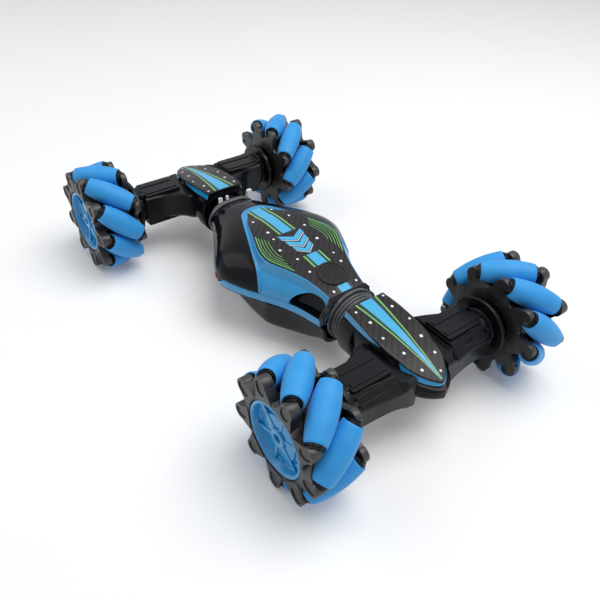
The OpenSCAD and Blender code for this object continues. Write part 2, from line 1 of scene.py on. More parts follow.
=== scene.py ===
from math import acos, asin, atan2, cos, degrees, pi, radians, sin, sqrt

import bmesh
import bpy
from mathutils import Matrix, Vector


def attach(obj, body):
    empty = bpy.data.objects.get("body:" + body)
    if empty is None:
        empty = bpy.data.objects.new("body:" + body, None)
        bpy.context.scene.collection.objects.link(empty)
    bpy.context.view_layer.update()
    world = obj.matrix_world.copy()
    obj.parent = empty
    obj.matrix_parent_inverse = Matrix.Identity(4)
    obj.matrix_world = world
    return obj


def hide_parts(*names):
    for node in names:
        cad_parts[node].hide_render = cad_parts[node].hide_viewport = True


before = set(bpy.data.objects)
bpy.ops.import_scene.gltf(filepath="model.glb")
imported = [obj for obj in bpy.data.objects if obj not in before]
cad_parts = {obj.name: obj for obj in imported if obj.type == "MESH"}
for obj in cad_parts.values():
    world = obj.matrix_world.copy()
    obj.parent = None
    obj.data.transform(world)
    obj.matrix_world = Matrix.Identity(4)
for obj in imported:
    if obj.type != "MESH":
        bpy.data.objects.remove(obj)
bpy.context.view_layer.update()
scene = bpy.context.scene

# Lower tub and ledge
# The tub is the belly of the car, moulded in black ABS with flat sides and a flat bottom.
# A ledge round its top carries the blue upper shell, and screws from below hold the two together.

HALF = 92.0
AXLE = 52.0
FOOT = AXLE - 5.6
TUB_WALL, LEDGE_THICK = 2.8, 3
CREASE = 32
DOOR_HOLE, SWITCH_HOLE = (73, 39, 3), (7, 9, 1, 52)
TUB_WIDTH = [(-1, 26.5), (-0.73, 36), (-0.5, 43), (-0.2, 47), (0.36, 48), (0.5, 42), (0.63, 35.5), (0.8, 30.6),
             (1, 27.5)]
TUB_DEPTH = [(-1, 21.5), (-0.88, 27.5), (-0.7, 31.7), (-0.3, 33.5), (0.5, 33.5), (0.74, 31), (1, 25.5)]
TUB_POWER = [(-1, 2.6), (-0.6, 6), (0.6, 8), (1, 4)]
BODY_WIDTH = [(-1, 28), (-0.73, 39), (-0.55, 48.5), (-0.24, 64), (-0.05, 66), (0.2, 57), (0.29, 52.3), (0.63, 36),
              (0.92, 29), (1, 28.5)]


def linear(code):
    channels = [int(code[i:i + 2], 16) / 255 for i in (1, 3, 5)]
    return [c / 12.92 if c <= 0.04045 else ((c + 0.055) / 1.055) ** 2.4 for c in channels] + [1]


def result(node):
    return next(output for output in node.outputs if output.enabled)


def add(material, kind, links=(), drives=None, **settings):
    tree = material.node_tree
    node = tree.nodes.new("ShaderNode" + kind)
    for name, value in settings.items():
        setattr(node, name, value)
    for socket, value in dict(links).items():
        if isinstance(value, bpy.types.Node):
            value = result(value)
        if isinstance(value, bpy.types.NodeSocket):
            tree.links.new(value, node.inputs[socket])
        else:
            node.inputs[socket].default_value = linear(value) if isinstance(value, str) else value
    if drives:
        tree.links.new(result(node), tree.nodes["Principled BSDF"].inputs[drives])
    return node


def finish_named(name, **sockets):
    material = bpy.data.materials.new(name)
    material.use_nodes = True
    shader = material.node_tree.nodes["Principled BSDF"]
    for socket, value in sockets.items():
        shader.inputs[socket.replace("_", " ")].default_value = value
    return material, add(material, "TexCoord").outputs["Object"]


def grained_abs(name, flow, grit, tones, rub, wear, shine, relief, **sockets):
    made, place = finish_named(name, **sockets)
    flow = add(made, "TexNoise", {"Vector": place, "Detail": 3, **flow})
    grain = add(made, "TexNoise", {"Vector": place, "Scale": grit, "Detail": 1})
    edge = add(made, "NewGeometry").outputs["Pointiness"]
    worn = add(made, "MapRange", {"Value": edge, "From Min": 0.52, "From Max": 0.6, "To Max": wear})
    tone = add(made, "Mix", {0: flow, 6: tones[0], 7: tones[1]}, data_type="RGBA")
    add(made, "Mix", {0: worn, 6: tone, 7: rub}, data_type="RGBA", drives="Base Color")
    add(made, "MapRange", {"Value": flow, "To Min": shine[0], "To Max": shine[1]}, drives="Roughness")
    add(made, "Bump", {"Height": grain, "Strength": relief, "Distance": 0.0002}, drives="Normal")
    return made


# ABS, moulded in black: a fine spark-eroded grain of about 0.4 mm breaks the gloss a little,
# flow marks some 20 mm long shift the shine, and handled edges go paler.
black_abs = grained_abs("ABS black moulded", {"Scale": 50, "Roughness": 0.55}, 2500, ("#07080B", "#0D0F13"),
                        "#2C2D31", wear=0.35, shine=(0.18, 0.34), relief=0.06, IOR=1.5, Specular_IOR_Level=0.22)


def curve(stations, at):
    last = len(stations) - 1
    i = 0
    while i < last - 1 and at > stations[i + 1][0]:
        i += 1

    def slope(k):
        if k in (0, last):
            return 0
        return (stations[k + 1][1] - stations[k - 1][1]) / (stations[k + 1][0] - stations[k - 1][0])

    h = stations[i + 1][0] - stations[i][0]
    f = min(1, max(0, (at - stations[i][0]) / h))
    return ((2 * f ** 3 - 3 * f * f + 1) * stations[i][1] + (f ** 3 - 2 * f * f + f) * h * slope(i)
            + (3 * f * f - 2 * f ** 3) * stations[i + 1][1] + (f ** 3 - f * f) * h * slope(i + 1))


def signed(value, power):
    return (1 if value > 0 else -1 if value < 0 else 0) * abs(value) ** power


def grid(rows, columns, at):
    points = [at(i / rows, j / columns) for i in range(rows + 1) for j in range(columns + 1)]
    n = columns + 1
    faces = [(i * n + j, i * n + j + 1, (i + 1) * n + j + 1, (i + 1) * n + j)
             for i in range(rows) for j in range(columns)]
    return points, faces


def panel(rows, columns, at):
    outer, faces = grid(rows, columns, lambda u, v: at(u, v, 0))
    inner, backs = grid(rows, columns, lambda u, v: at(u, v, 1))
    n, m = len(outer), columns + 1
    rim = ([j for j in range(columns)] + [i * m + columns for i in range(rows)]
           + [rows * m + j for j in range(columns, 0, -1)] + [i * m for i in range(rows, 0, -1)])
    faces += [tuple(n + k for k in reversed(f)) for f in backs]
    faces += [(a, b, n + b, n + a) for a, b in zip(rim, rim[1:] + rim[:1])]
    return outer + inner, faces


def ease_edges(made, width, segments, angle):
    bevel = made.modifiers.new("moulded edge", "BEVEL")
    bevel.width = width * 0.001
    bevel.segments = segments
    bevel.limit_method = "ANGLE"
    bevel.angle_limit = radians(angle)
    bevel.harden_normals = True


def piece(name, shape, body, slot, *finishes, crease=CREASE, soften=0):
    points, faces = shape
    mesh = bpy.data.meshes.new(name)
    mesh.from_pydata([Vector(p) * 0.001 for p in points], [], faces)
    work = bmesh.new()
    work.from_mesh(mesh)
    bmesh.ops.remove_doubles(work, verts=work.verts, dist=1e-7)
    bmesh.ops.recalc_face_normals(work, faces=work.faces)
    work.to_mesh(mesh)
    work.free()
    mesh.shade_smooth()
    mesh.set_sharp_from_angle(angle=radians(crease))
    for finish in finishes:
        mesh.materials.append(finish)
    made = bpy.data.objects.new(name, mesh)
    scene.collection.objects.link(made)
    if soften:
        ease_edges(made, soften, 3, crease)
    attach(made, body)
    return made


def merge(*shapes):
    points, faces = [], []
    for more, quads in shapes:
        faces += [tuple(k + len(points) for k in f) for f in quads]
        points += more
    return points, faces


def tub_skin(u, v, depth):
    f = 2 * u - 1
    w = curve(TUB_WIDTH, f) - TUB_WALL * depth
    d = curve(TUB_DEPTH, f) - TUB_WALL * depth
    p = 2 / curve(TUB_POWER, f)
    a = pi + pi * v
    z = AXLE + d * signed(sin(a), p)
    return (f * HALF, w * signed(cos(a), p), min(z, FOOT - 0.4))


def ledge_skin(u, v, depth):
    f = 2 * u - 1
    w = curve(BODY_WIDTH, f) - 0.9
    side = 2 * v - 1
    reach = side * (w - 3.2 * depth)
    return (f * HALF, reach, FOOT - 0.2 - LEDGE_THICK * depth - 0.8 * abs(side) ** 12)


def carve(made, cutters):
    for cutter in cutters:
        cut = made.modifiers.new("cut", "BOOLEAN")
        cut.object = cutter
        cut.solver = "EXACT"
    bpy.context.view_layer.update()
    shape = made.evaluated_get(bpy.context.evaluated_depsgraph_get())
    old = made.data
    made.data = bpy.data.meshes.new_from_object(shape)
    made.modifiers.clear()
    bpy.data.meshes.remove(old)
    for cutter in cutters:
        bpy.data.objects.remove(cutter)
    made.data.shade_smooth()
    made.data.set_sharp_from_angle(angle=radians(CREASE))


def prism(outline, low, high):
    n = len(outline)
    points = [(x, y, low) for x, y in outline] + [(x, y, high) for x, y in outline]
    faces = [tuple(range(n - 1, -1, -1)), tuple(range(n, 2 * n))]
    faces += [(i, (i + 1) % n, n + (i + 1) % n, n + i) for i in range(n)]
    return points, faces


def rounded(length, width, radius, x=0, y=0, steps=6):
    corners = [(1, 1, 0), (-1, 1, 90), (-1, -1, 180), (1, -1, 270)]
    return [(x + sx * (length / 2 - radius) + radius * cos(radians(start + 90 * i / steps)),
             y + sy * (width / 2 - radius) + radius * sin(radians(start + 90 * i / steps)))
            for sx, sy, start in corners for i in range(steps + 1)]


tub = piece("tub", panel(84, 72, tub_skin), "chassis", "black_abs", black_abs)
carve(tub, [piece(name, prism(rounded(*hole), 5, 24), "chassis", "black_abs")
            for name, hole in (("door_cut", DOOR_HOLE), ("switch_cut", SWITCH_HOLE))])
piece("tub_ledge", panel(84, 24, ledge_skin), "chassis", "black_abs", black_abs)
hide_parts("lower_shell")

# Battery door and power switch
# The door is a flat ABS lid over the cell bay, clipped in at one end and screwed at the other.
# The switch is a small ABS slider in a slot beside it. Both keep their CAD shapes.


def dress(node, finish, bevel):
    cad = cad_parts[node]
    cad.data.materials.clear()
    cad.data.materials.append(finish)
    cad.modifiers.new("closed seams", "WELD").merge_threshold = 2e-6
    ease_edges(cad, bevel, 2, 40)


dress("battery_door", black_abs, bevel=0.4)
dress("power_switch", black_abs, bevel=0.4)

# Screws in the underside
# Black-oxide steel screws with a crossed recess, driven from below. Each sits in a round boss of the tub,
# and together they hold the tub to the upper shell.


def two_tone(material, place, scale, detail, dark, pale):
    noise = add(material, "TexNoise", {"Vector": place, "Scale": scale, "Detail": detail})
    add(material, "Mix", {0: noise, 6: dark, 7: pale}, data_type="RGBA", drives="Base Color")
    return noise


# Steel with a black oxide skin: dull, nearly black, with paler rubbed metal where the driver has sat.
oxide_steel, place = finish_named("Steel black oxide", Metallic=1.0, Roughness=0.38)
two_tone(oxide_steel, place, 900, 2, "#2A2B2D", "#56585C")


def hoops(rows, n):
    return [(i * n + k, i * n + (k + 1) % n, (i + 1) * n + (k + 1) % n, (i + 1) * n + k)
            for i in range(rows) for k in range(n)]


def lathe(profile, turns, at):
    points = [at(r * cos(2 * pi * k / turns), r * sin(2 * pi * k / turns), h)
              for r, h in profile for k in range(turns)]
    return points, hoops(len(profile) - 1, turns)


def screw(x, y, z):
    def at(a, b, h):
        return (x + a, y + b, z + h)

    boss = lathe([(3.4, 1.2), (3.4, -0.4), (3.1, -0.7), (2.5, -0.7), (2.3, -0.4), (2.3, 0.6)], 28, at)
    head = lathe([(2.2, 0.6), (2.2, 0.1), (1.9, -0.15), (0.9, -0.25), (0, -0.25)], 28, at)
    cross = [prism(rounded(long, wide, 0.1, x, y), z - 0.32, z - 0.2) for long, wide in ((0.6, 2.4), (2.4, 0.6))]
    return boss, merge(head, *cross)


screw_spots = [(-48, 27, 19.0), (-48, -27, 19.0), (-44, 0, 18.5), (41, 27, 18.5), (41, -27, 18.5)]
bosses, heads = zip(*[screw(*spot) for spot in screw_spots])
piece("tub_screw_bosses", merge(*bosses), "chassis", "black_abs", black_abs)
piece("tub_screws", merge(*heads), "chassis", "motor_steel", oxide_steel)

# Cell pack, circuit board and gearmotors
# These sit inside: a shrink-wrapped cell pack behind the door, the receiver board on four posts,
# and gearmotors in steel cans that twist the modules and drive the wheels.

# PVC heat-shrink wrap: a satin film that pulls into faint ripples some 3 mm apart over the cells.
wrap, place = finish_named("PVC heat-shrink film", Roughness=0.35, IOR=1.53)
ripple = add(wrap, "TexWave", {"Vector": place, "Scale": 50, "Distortion": 3, "Detail": 2})
add(wrap, "Mix", {0: ripple.outputs["Fac"], 6: "#2A659B", 7: "#3A7DB8"}, data_type="RGBA", drives="Base Color")
add(wrap, "Bump", {"Height": ripple.outputs["Fac"], "Strength": 0.3, "Distance": 0.0003}, drives="Normal")

# Glass-epoxy board under a green solder mask: a glossy lacquer with a faint 0.5 mm glass weave below it.
board_mask, place = finish_named("Glass epoxy with solder mask", Roughness=0.28, IOR=1.55)
add(board_mask, "TexChecker", {"Vector": place, "Scale": 2000, "Color1": "#1B5F33", "Color2": "#237343"},
    drives="Base Color")

# Steel can, drawn and nickel plated: grey metal with fine draw lines along the can.
motor_steel, place = finish_named("Steel nickel plated", Metallic=1.0, Roughness=0.3)
lines = two_tone(motor_steel, place, 600, 3, "#A3A6AA", "#CDCFD2")
add(motor_steel, "MapRange", {"Value": lines, "To Min": 0.22, "To Max": 0.4}, drives="Roughness")

dress("battery_pack", wrap, bevel=2.0)
dress("circuit_board", board_mask, bevel=0.2)
for node in ("twist_motors", "front_gearmotors", "rear_gearmotors"):
    dress(node, motor_steel, bevel=0.4)

# Upper shell
# The blue shell is one glossy ABS moulding. It carries the canopy in a shallow recess and the deck on a raised
# flat, has a half-round recess low on each flank, and stands on the tub's ledge on a proud sill.

BODY_UP = [(-1, 18.4), (-0.88, 22.2), (-0.75, 25.2), (-0.5, 29), (-0.1, 30.4), (0.1, 30.6), (0.39, 28.4),
           (0.58, 26.4), (0.72, 24), (0.89, 20.6), (1, 19)]
BODY_POWER = [(-1, 2.1), (-0.65, 2.1), (-0.25, 2.5), (0.1, 2.4), (0.4, 2.3), (1, 2.2)]
DECK_UP = [(-0.62, 26.4), (-0.3, 31.3), (0, 31.8), (0.12, 31.4), (0.35, 29.2), (0.48, 28.4), (0.61, 27), (0.74, 24.9),
           (0.87, 22.4), (1, 19.8)]
DECK_EDGE = [(-0.57, 10.4), (-0.37, 20.6), (-0.17, 28.1), (0.09, 37.6), (0.2, 39.6), (0.28, 39.1), (0.48, 30.6),
             (0.61, 25.2), (0.74, 21.6), (0.955, 18.2)]
DECK_REAR, DECK_FRONT, DECK_RIM = -0.57 * HALF, 0.955 * HALF, 1.4
SILL_TOP = [(-92, 46.8), (-30, 46.8), (-16, 47), (-9, 50.4), (-3, 53.6), (2, 53.8), (92, 53.8)]
SILL = AXLE + 1.8
SILL_START, SILL_LONG = -14, 102
ARCH_X, ARCH_L, ARCH_H = 0.8 * HALF, 18.5, 15.5
SHELL_WALL, SILL_WALL = 2.2, 2.6
WALL_FOOT, WALL_TOP, WALL_EDGE = 0.5, 0.36, 0.3
FILLET, EDGE_ROUND = 2, 1.1
SIDES = (("right", -1), ("left", 1))

# ABS, moulded in blue with polished steel tools: a clean gloss, very slight waviness over 15 mm
# where the wall shrank, and a hint of paler colour along the edges.
blue_abs, place = finish_named("ABS blue polished moulding", IOR=1.53, Coat_Weight=0.2, Coat_Roughness=0.08)
flow = add(blue_abs, "TexNoise", {"Vector": place, "Scale": 65, "Detail": 2})
fine = add(blue_abs, "TexNoise", {"Vector": place, "Scale": 3000, "Detail": 1})
tone = add(blue_abs, "Mix", {0: flow, 6: "#1C8EC8", 7: "#289AD4"}, data_type="RGBA")
edge = add(blue_abs, "NewGeometry").outputs["Pointiness"]
worn = add(blue_abs, "MapRange", {"Value": edge, "From Min": 0.53, "From Max": 0.62, "To Max": 0.4})
add(blue_abs, "Mix", {0: worn, 6: tone, 7: "#79BFEA"}, data_type="RGBA", drives="Base Color")
add(blue_abs, "MapRange", {"Value": fine, "To Min": 0.2, "To Max": 0.3}, drives="Roughness")
add(blue_abs, "Bump", {"Height": flow, "Strength": 0.05, "Distance": 0.001}, drives="Normal")


def form(x, inset):
    f = x / HALF
    return curve(BODY_WIDTH, f) - inset, curve(BODY_UP, f) - inset, curve(BODY_POWER, f)


def skin(x, angle, inset=0.0):
    w, u, n = form(x, inset)
    a = radians(angle)
    return (x, w * signed(cos(a), 2 / n), AXLE + u * signed(sin(a), 2 / n))


def flat(x, inset=0.0):
    return AXLE + curve(DECK_UP, x / HALF) - max(0, DECK_REAR - x) - inset


def bulge(x, y, inset=0.0):
    w, u, n = form(x, inset)
    return AXLE + u * max(0, 1 - min(1, abs(y) / w) ** n) ** (1 / n)


def height(x, y, inset=0.0):
    a, b = bulge(x, y, inset), flat(x, inset)
    return (a + b + sqrt((a - b) ** 2 + 0.3)) / 2


def deck_wall(x):
    return curve(DECK_EDGE, x / HALF) + DECK_RIM


def flank(x, z, inset=0.0):
    w, u, n = form(x, inset)
    y = w * max(0, 1 - min(1, max(0, z - AXLE) / u) ** n) ** (1 / n)
    return max(y, deck_wall(x) - inset) if z < flat(x) else y


def section(x, s, inset=0.0):
    w, u, n = form(x, inset)
    wall, t = deck_wall(x) - inset, abs(s)
    top = height(x, wall, inset) - 0.8
    if t > WALL_FOOT:
        a = acos(((wall + FILLET) / w) ** (n / 2)) * (1 - t) / (1 - WALL_FOOT)
        y, z = w * cos(a) ** (2 / n), AXLE + u * sin(a) ** (2 / n)
    elif t > WALL_TOP:
        k = (WALL_FOOT - t) / (WALL_FOOT - WALL_TOP)
        y = wall + FILLET * (1 - sin(k * pi / 2))
        low = bulge(x, y, inset)
        z = low + max(0, top - low) * k ** 1.6
    elif t > WALL_EDGE:
        k = (WALL_TOP - t) / (WALL_TOP - WALL_EDGE)
        y = wall - EDGE_ROUND * (1 - cos(k * pi / 2))
        low = max(top, bulge(x, wall, inset))
        z = low + (height(x, wall - EDGE_ROUND, inset) - low) * sin(k * pi / 2)
    else:
        y = (wall - EDGE_ROUND) * t / WALL_EDGE
        z = height(x, y, inset)
    return (x, y if s > 0 else -y, z)


def shell_skin(u, v, depth):
    return section((2 * u - 1) * HALF, 1 - 2 * v, 0.5 + SHELL_WALL * depth)


def sill_skin(side):
    def at(u, v, depth):
        x = SILL_START + SILL_LONG * u
        z = FOOT + (curve(SILL_TOP, x) - FOOT) * v
        swell = 0.5 * (1 - (2 * v - 1) ** 6) - SILL_WALL * depth
        return (x, side * (flank(x, z) - 0.6 * (1 - v) + swell), z)
    return at


def arch_outline(grow, steps=28):
    return [(ARCH_X - (ARCH_L + grow) * cos(pi * i / steps), SILL + (ARCH_H + grow) * sin(pi * i / steps))
            for i in range(steps + 1)]


upper = piece("blue_shell", panel(120, 120, shell_skin), "chassis", "blue_abs", blue_abs)
points, faces = prism(arch_outline(0), 8, 80)
carve(upper, [piece("arch_cut%d" % side, ([(x, side * y, z) for x, z, y in points], faces), "chassis", "blue_abs")
              for side in (-1, 1)])
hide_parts("upper_shell")
for name, side in SIDES:
    piece("sill_" + name, panel(96, 14, sill_skin(side)), "chassis", "blue_abs", blue_abs)

# Flank recess liners
# Each half-round recess is a separate black ABS cup, open towards the outside.
# It is pressed in from behind, against the shell's wall.

LINER_GAP, LINER_DEEP, LINER_END = 0.15, 9, 91.5


def liner(side, steps=8):
    outline = arch_outline(-LINER_GAP)
    x0, x1 = outline[0][0], outline[-1][0]
    outline += [(x1 - (x1 - x0) * i / 12, SILL + LINER_GAP) for i in range(1, 12)]
    points = []
    for k in range(steps + 1):
        draw = 1 - 0.1 * (k / steps) ** 2
        for x, z in outline:
            xx = min(LINER_END, ARCH_X + (x - ARCH_X) * draw)
            zz = SILL + LINER_GAP + (z - SILL - LINER_GAP) * draw
            points.append((xx, side * (flank(min(x, LINER_END), z, 0.4) - LINER_DEEP * k / steps), zz))
    n = len(outline)
    return points, hoops(steps, n) + [tuple(steps * n + i for i in range(n))]


for name, side in SIDES:
    piece("recess_liner_" + name, liner(side), "chassis", "black_abs", black_abs)

# Rear canopy
# A smoked black polycarbonate moulding that bulges over both rear quarters and joins behind the deck.
# It drops into a recess of the blue shell, whose edge stands round it as a rounded rim.

CANOPY_EDGE = [(29.8, 50.4), (26.6, 48.8), (18.5, 45), (6.5, 40.6), (-8, 34.7), (-24, 27.9), (-40, 20.7), (-52, 14.6),
               (-57, 8.4), (-58.2, 0)]
CANOPY_REAR, CANOPY_TURN, CANOPY_WALL = -92.2, 0.84, 1.1
BEAD_WIDE, BEAD_HIGH = 1.2, 0.7

# Polycarbonate, smoked and polished: near-black with sharp reflections, a soft waviness over 25 mm
# and faint hairline scratches that only change the shine.
gloss_black, place = finish_named("Polycarbonate smoked black", IOR=1.5, Specular_IOR_Level=0.16)
two_tone(gloss_black, place, 40, 2, "#06070A", "#0C0D12")
hair = add(gloss_black, "TexNoise", {"Vector": place, "Scale": 700, "Detail": 4, "Roughness": 0.7})
add(gloss_black, "MapRange", {"Value": hair, "To Min": 0.1, "To Max": 0.22}, drives="Roughness")


def spline(points, t):
    n = len(points) - 1
    i = min(n - 1, int(t * n))
    f = t * n - i
    a, b, c, d = (points[max(0, min(n, k))] for k in (i - 1, i, i + 1, i + 2))
    return tuple(0.5 * (2 * q + (r - p) * f + (2 * p - 5 * q + 4 * r - s) * f * f + (3 * q - p - 3 * r + s) * f ** 3)
                 for p, q, r, s in zip(a, b, c, d))


def angle_of(x, y):
    w, u, n = form(x, 0)
    return degrees(acos(min(1, abs(y) / w) ** (n / 2)))


def sill_angle(x):
    w, u, n = form(x, 0)
    rise = (curve(SILL_TOP, x) + 0.3 - AXLE) / u
    return degrees(asin(signed(rise, n / 2)))


def rolled(border, radius, drop):
    f = min(1, max(0, border / radius))
    return drop * (1 - sqrt(max(0, 1 - (1 - f) ** 2)))


def canopy_skin(u, v, depth):
    q = 1 - abs(2 * u - 1)
    x, y = spline(CANOPY_EDGE, q)
    inner = (x, angle_of(x, y) if q < 1 else 90)
    start = CANOPY_EDGE[0][0]
    if q < CANOPY_TURN:
        x = start + (CANOPY_REAR - start) * q / CANOPY_TURN
        outer = (x, sill_angle(x))
    else:
        low = sill_angle(CANOPY_REAR)
        outer = (CANOPY_REAR, low + (90 - low) * (q - CANOPY_TURN) / (1 - CANOPY_TURN))
    span = (Vector(skin(*inner)) - Vector(skin(*outer))).length
    inset = rolled(min(v, 1 - v) * span, 3, 0.9) + CANOPY_WALL * depth - 0.1
    x, a = (p + (r - p) * v for p, r in zip(inner, outer))
    x, y, z = skin(x, a, inset)
    return (x, y if u <= 0.5 else -y, z)


def rim_bead(rows=120, sides=12):
    def middle(q):
        x, y = spline(CANOPY_EDGE, 1 - abs(2 * q - 1))
        point = Vector(skin(x, angle_of(x, y) if q != 0.5 else 90, 0.3))
        return Vector((point.x, point.y if q < 0.5 else -point.y, point.z))

    points = []
    for i in range(rows + 1):
        q = i / rows
        here, along = middle(q), (middle(min(1, q + 0.004)) - middle(max(0, q - 0.004))).normalized()
        w, u, n = form(here.x, 0)
        out = Vector((0, here.y / w ** 2, (here.z - AXLE) / u ** 2)).normalized()
        across = along.cross(out).normalized()
        for k in range(sides):
            a = 2 * pi * k / sides
            points.append(tuple(here + BEAD_WIDE * cos(a) * across + BEAD_HIGH * sin(a) * out))
    return points, hoops(rows, sides) + [tuple(range(sides)), tuple(rows * sides + k for k in range(sides))]


canopy = piece("canopy", panel(150, 44, canopy_skin), "chassis", "gloss_black_pc", gloss_black)
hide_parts("rear_canopy")
piece("canopy_rim", rim_bead(), "chassis", "blue_abs", blue_abs)

# Deck panel
# A thin ABS panel laid on the shell's raised flat, faced with a printed film that shows a woven pattern
# under clear lacquer. It is clipped in from above.

DECK_PROUD, DECK_THICK = 0.15, 1.2

# Printed carbon-look film under gloss lacquer: a 2/2 twill of tows 1.8 mm wide, warp and weft a shade
# apart, each tow rounded by its print shading, and a hard clear coat on top.
TOW = 0.0018
twill, place = finish_named("Printed twill film lacquered", IOR=1.5, Specular_IOR_Level=0.2, Coat_Weight=0.12,
                            Coat_Roughness=0.1, Coat_IOR=1.5)
axes = add(twill, "SeparateXYZ", {0: place})
steps, parts = [], []
for axis in (0, 1):
    tows = add(twill, "Math", {0: axes.outputs[axis], 1: TOW}, operation="DIVIDE")
    steps.append(add(twill, "Math", {0: tows}, operation="FLOOR"))
    parts.append(add(twill, "Math", {0: tows}, operation="FRACT"))
count = add(twill, "Math", {0: steps[0], 1: steps[1]}, operation="ADD")
fourth = add(twill, "Math", {0: count, 1: 4}, operation="FLOORED_MODULO")
over = add(twill, "Math", {0: fourth, 1: 1.5}, operation="LESS_THAN")
across = add(twill, "Mix", {0: over, 2: parts[0], 3: parts[1]})
hump = add(twill, "Math", {0: across, 1: 0.5}, operation="SUBTRACT")
hump = add(twill, "Math", {0: hump}, operation="ABSOLUTE")
light = add(twill, "MapRange", {"Value": hump, "From Max": 0.5, "To Min": 1.0, "To Max": 0.0})
warp = add(twill, "Mix", {0: over, 6: "#211E20", 7: "#373234"}, data_type="RGBA")
add(twill, "Mix", {0: light, 6: "#161415", 7: warp}, data_type="RGBA", drives="Base Color")
add(twill, "MapRange", {"Value": light, "To Min": 0.45, "To Max": 0.3}, drives="Roughness")


def deck_half(x):
    t = min(1, max(0, (x - DECK_REAR) / 5))
    return curve(DECK_EDGE, x / HALF) * (1 - 0.3 * (1 - t) ** 2.5)


def deck_skin(u, v, depth):
    x = DECK_REAR + (DECK_FRONT - DECK_REAR) * u
    e = deck_half(x)
    y = e * (2 * v - 1)
    border = min(e - abs(y), x - DECK_REAR, DECK_FRONT - x)
    return (x, y, height(x, y, rolled(border, 1.5, 0.7) + DECK_THICK * depth - DECK_PROUD))


deck = piece("deck", panel(140, 72, deck_skin), "chassis", "printed_deck", twill)
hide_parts("deck_panel")

# Deck print
# Screen-printed inks on the film: a pale blue middle stripe in lengths, green pinstripes beside it, chevrons,
# pinstripes that follow the deck's edge, and a scatter of white dots.

# Screen ink, gloss: an even opaque film with a faint 0.3 mm mesh mark, drawn at 0.6 mm so that it shows.
inks = {}
for name, dark, pale in (("blue", "#33A5D4", "#45B6E6"), ("green", "#67B857", "#82CC70"),
                         ("white", "#E4E6E6", "#F6F7F7"), ("teal", "#0C2024", "#142B30")):
    ink, place = finish_named("Screen ink " + name, Roughness=0.32, IOR=1.5, Coat_Weight=0.3, Coat_Roughness=0.1)
    two_tone(ink, place, 1600, 1, dark, pale)
    inks[name] = ink


def ribbon(path, widths, top, lift, columns):
    n = len(path) - 1

    def at(u, v):
        i = round(u * n)
        (x0, y0), (x1, y1) = path[max(0, i - 1)], path[min(n, i + 1)]
        long = sqrt((x1 - x0) ** 2 + (y1 - y0) ** 2)
        off = (v - 0.5) * widths[i]
        x, y = path[i][0] - off * (y1 - y0) / long, path[i][1] + off * (x1 - x0) / long
        return (x, y, top(x, y) + lift)
    return grid(n, columns, at)


def line(start, end, steps=24):
    return [tuple(a + (b - a) * i / steps for a, b in zip(start, end)) for i in range(steps + 1)]


def dot(x, y, radius, top, lift):
    ring = [(x + radius * cos(2 * pi * k / 18), y + radius * sin(2 * pi * k / 18)) for k in range(18)]
    return [(a, b, top(a, b) + lift) for a, b in ring], [tuple(range(18))]


def deck_top(x, y):
    return height(x, y, -DECK_PROUD)


def chevron(x, half, reach, stroke, top, lift):
    def at(u, v):
        y = half * (2 * u - 1)
        along = x + reach * (1 - abs(2 * u - 1)) + stroke * v
        return (along, y, top(along, y) + lift)
    return grid(24, 4, at)


LIFT = 0.05
STRIPE_WIDE, SHADE_WIDE = 10.2, 15
PIN_OFF, PIN_WIDE = 8.2, 1.6
stripe, green, white, shade = [], [], [], []
for x0, x1 in ((-52, 1), (36.5, 53), (79.6, 86.6)):
    stripe.append(ribbon(line((x0, 0), (x1, 0)), [STRIPE_WIDE] * 25, deck_top, LIFT * 2, 8))
    shade.append(ribbon(line((x0, 0), (x1, 0)), [SHADE_WIDE] * 25, deck_top, LIFT, 8))
for x0, x1 in ((-51.6, 1), (36.5, 53)):
    for side in (-1, 1):
        pin = line((x0, side * PIN_OFF), (x1, side * PIN_OFF))
        green.append(ribbon(pin, [PIN_WIDE] * 25, deck_top, LIFT * 2, 2))
for k, x0 in enumerate((2.6, 11.6, 20.6)):
    shade.append(chevron(x0 - 0.9, 13.4 - 1.6 * k, 8.4, 7, deck_top, LIFT))
    stripe.append(chevron(x0, 12.2 - 1.6 * k, 7.6, 5.4, deck_top, LIFT * 2))
    white.append(chevron(x0 + 6.2, 12.2 - 1.6 * k, 7.6, 0.8, deck_top, LIFT * 2))
for k, gap in enumerate((2.4, 4.6, 7.2, 10, 13)):
    for side in (-1, 1):
        xs = [-8 + k * 3 + (56 - k * 8) * i / 30 for i in range(31)]
        path = [(x, side * (deck_half(x) - gap)) for x in xs]
        green.append(ribbon(path, [0.5 if k else 0.8] * 31, deck_top, LIFT * 2, 2))
for x, y, r in ((-30.6, -16.5, 1.3), (-20.9, 17.3, 1.2), (4.1, -17.4, 1.1), (-7.6, -15.6, 1.5), (0.5, 19.6, 1.3),
                (22.3, 17.4, 1.5), (19.9, -21.5, 1.3), (37.1, -15.2, 1.2), (55.6, -15.8, 1.2), (57.8, 16.4, 1.3),
                (83.2, -11.3, 1.2), (81.8, 13.9, 1.1), (-42.5, 12.2, 1.1), (46, 17.5, 1.0)):
    white.append(dot(x, y, r, deck_top, LIFT * 3))
for name, marks in (("blue", stripe), ("green", green), ("white", white), ("teal", shade)):
    piece("deck_ink_" + name, merge(*marks), "chassis", "printed_deck", inks[name])

# Speaker grille
# A black ABS disc with a raised rim and a hexagonal field of 2 mm holes.
# It is pushed into the deck from above and tilted with it.

SPEAKER_X = 0.72 * HALF
HOLE_PITCH, HOLE_R, HOLE_REACH = 2.9, 1.08, 10.3

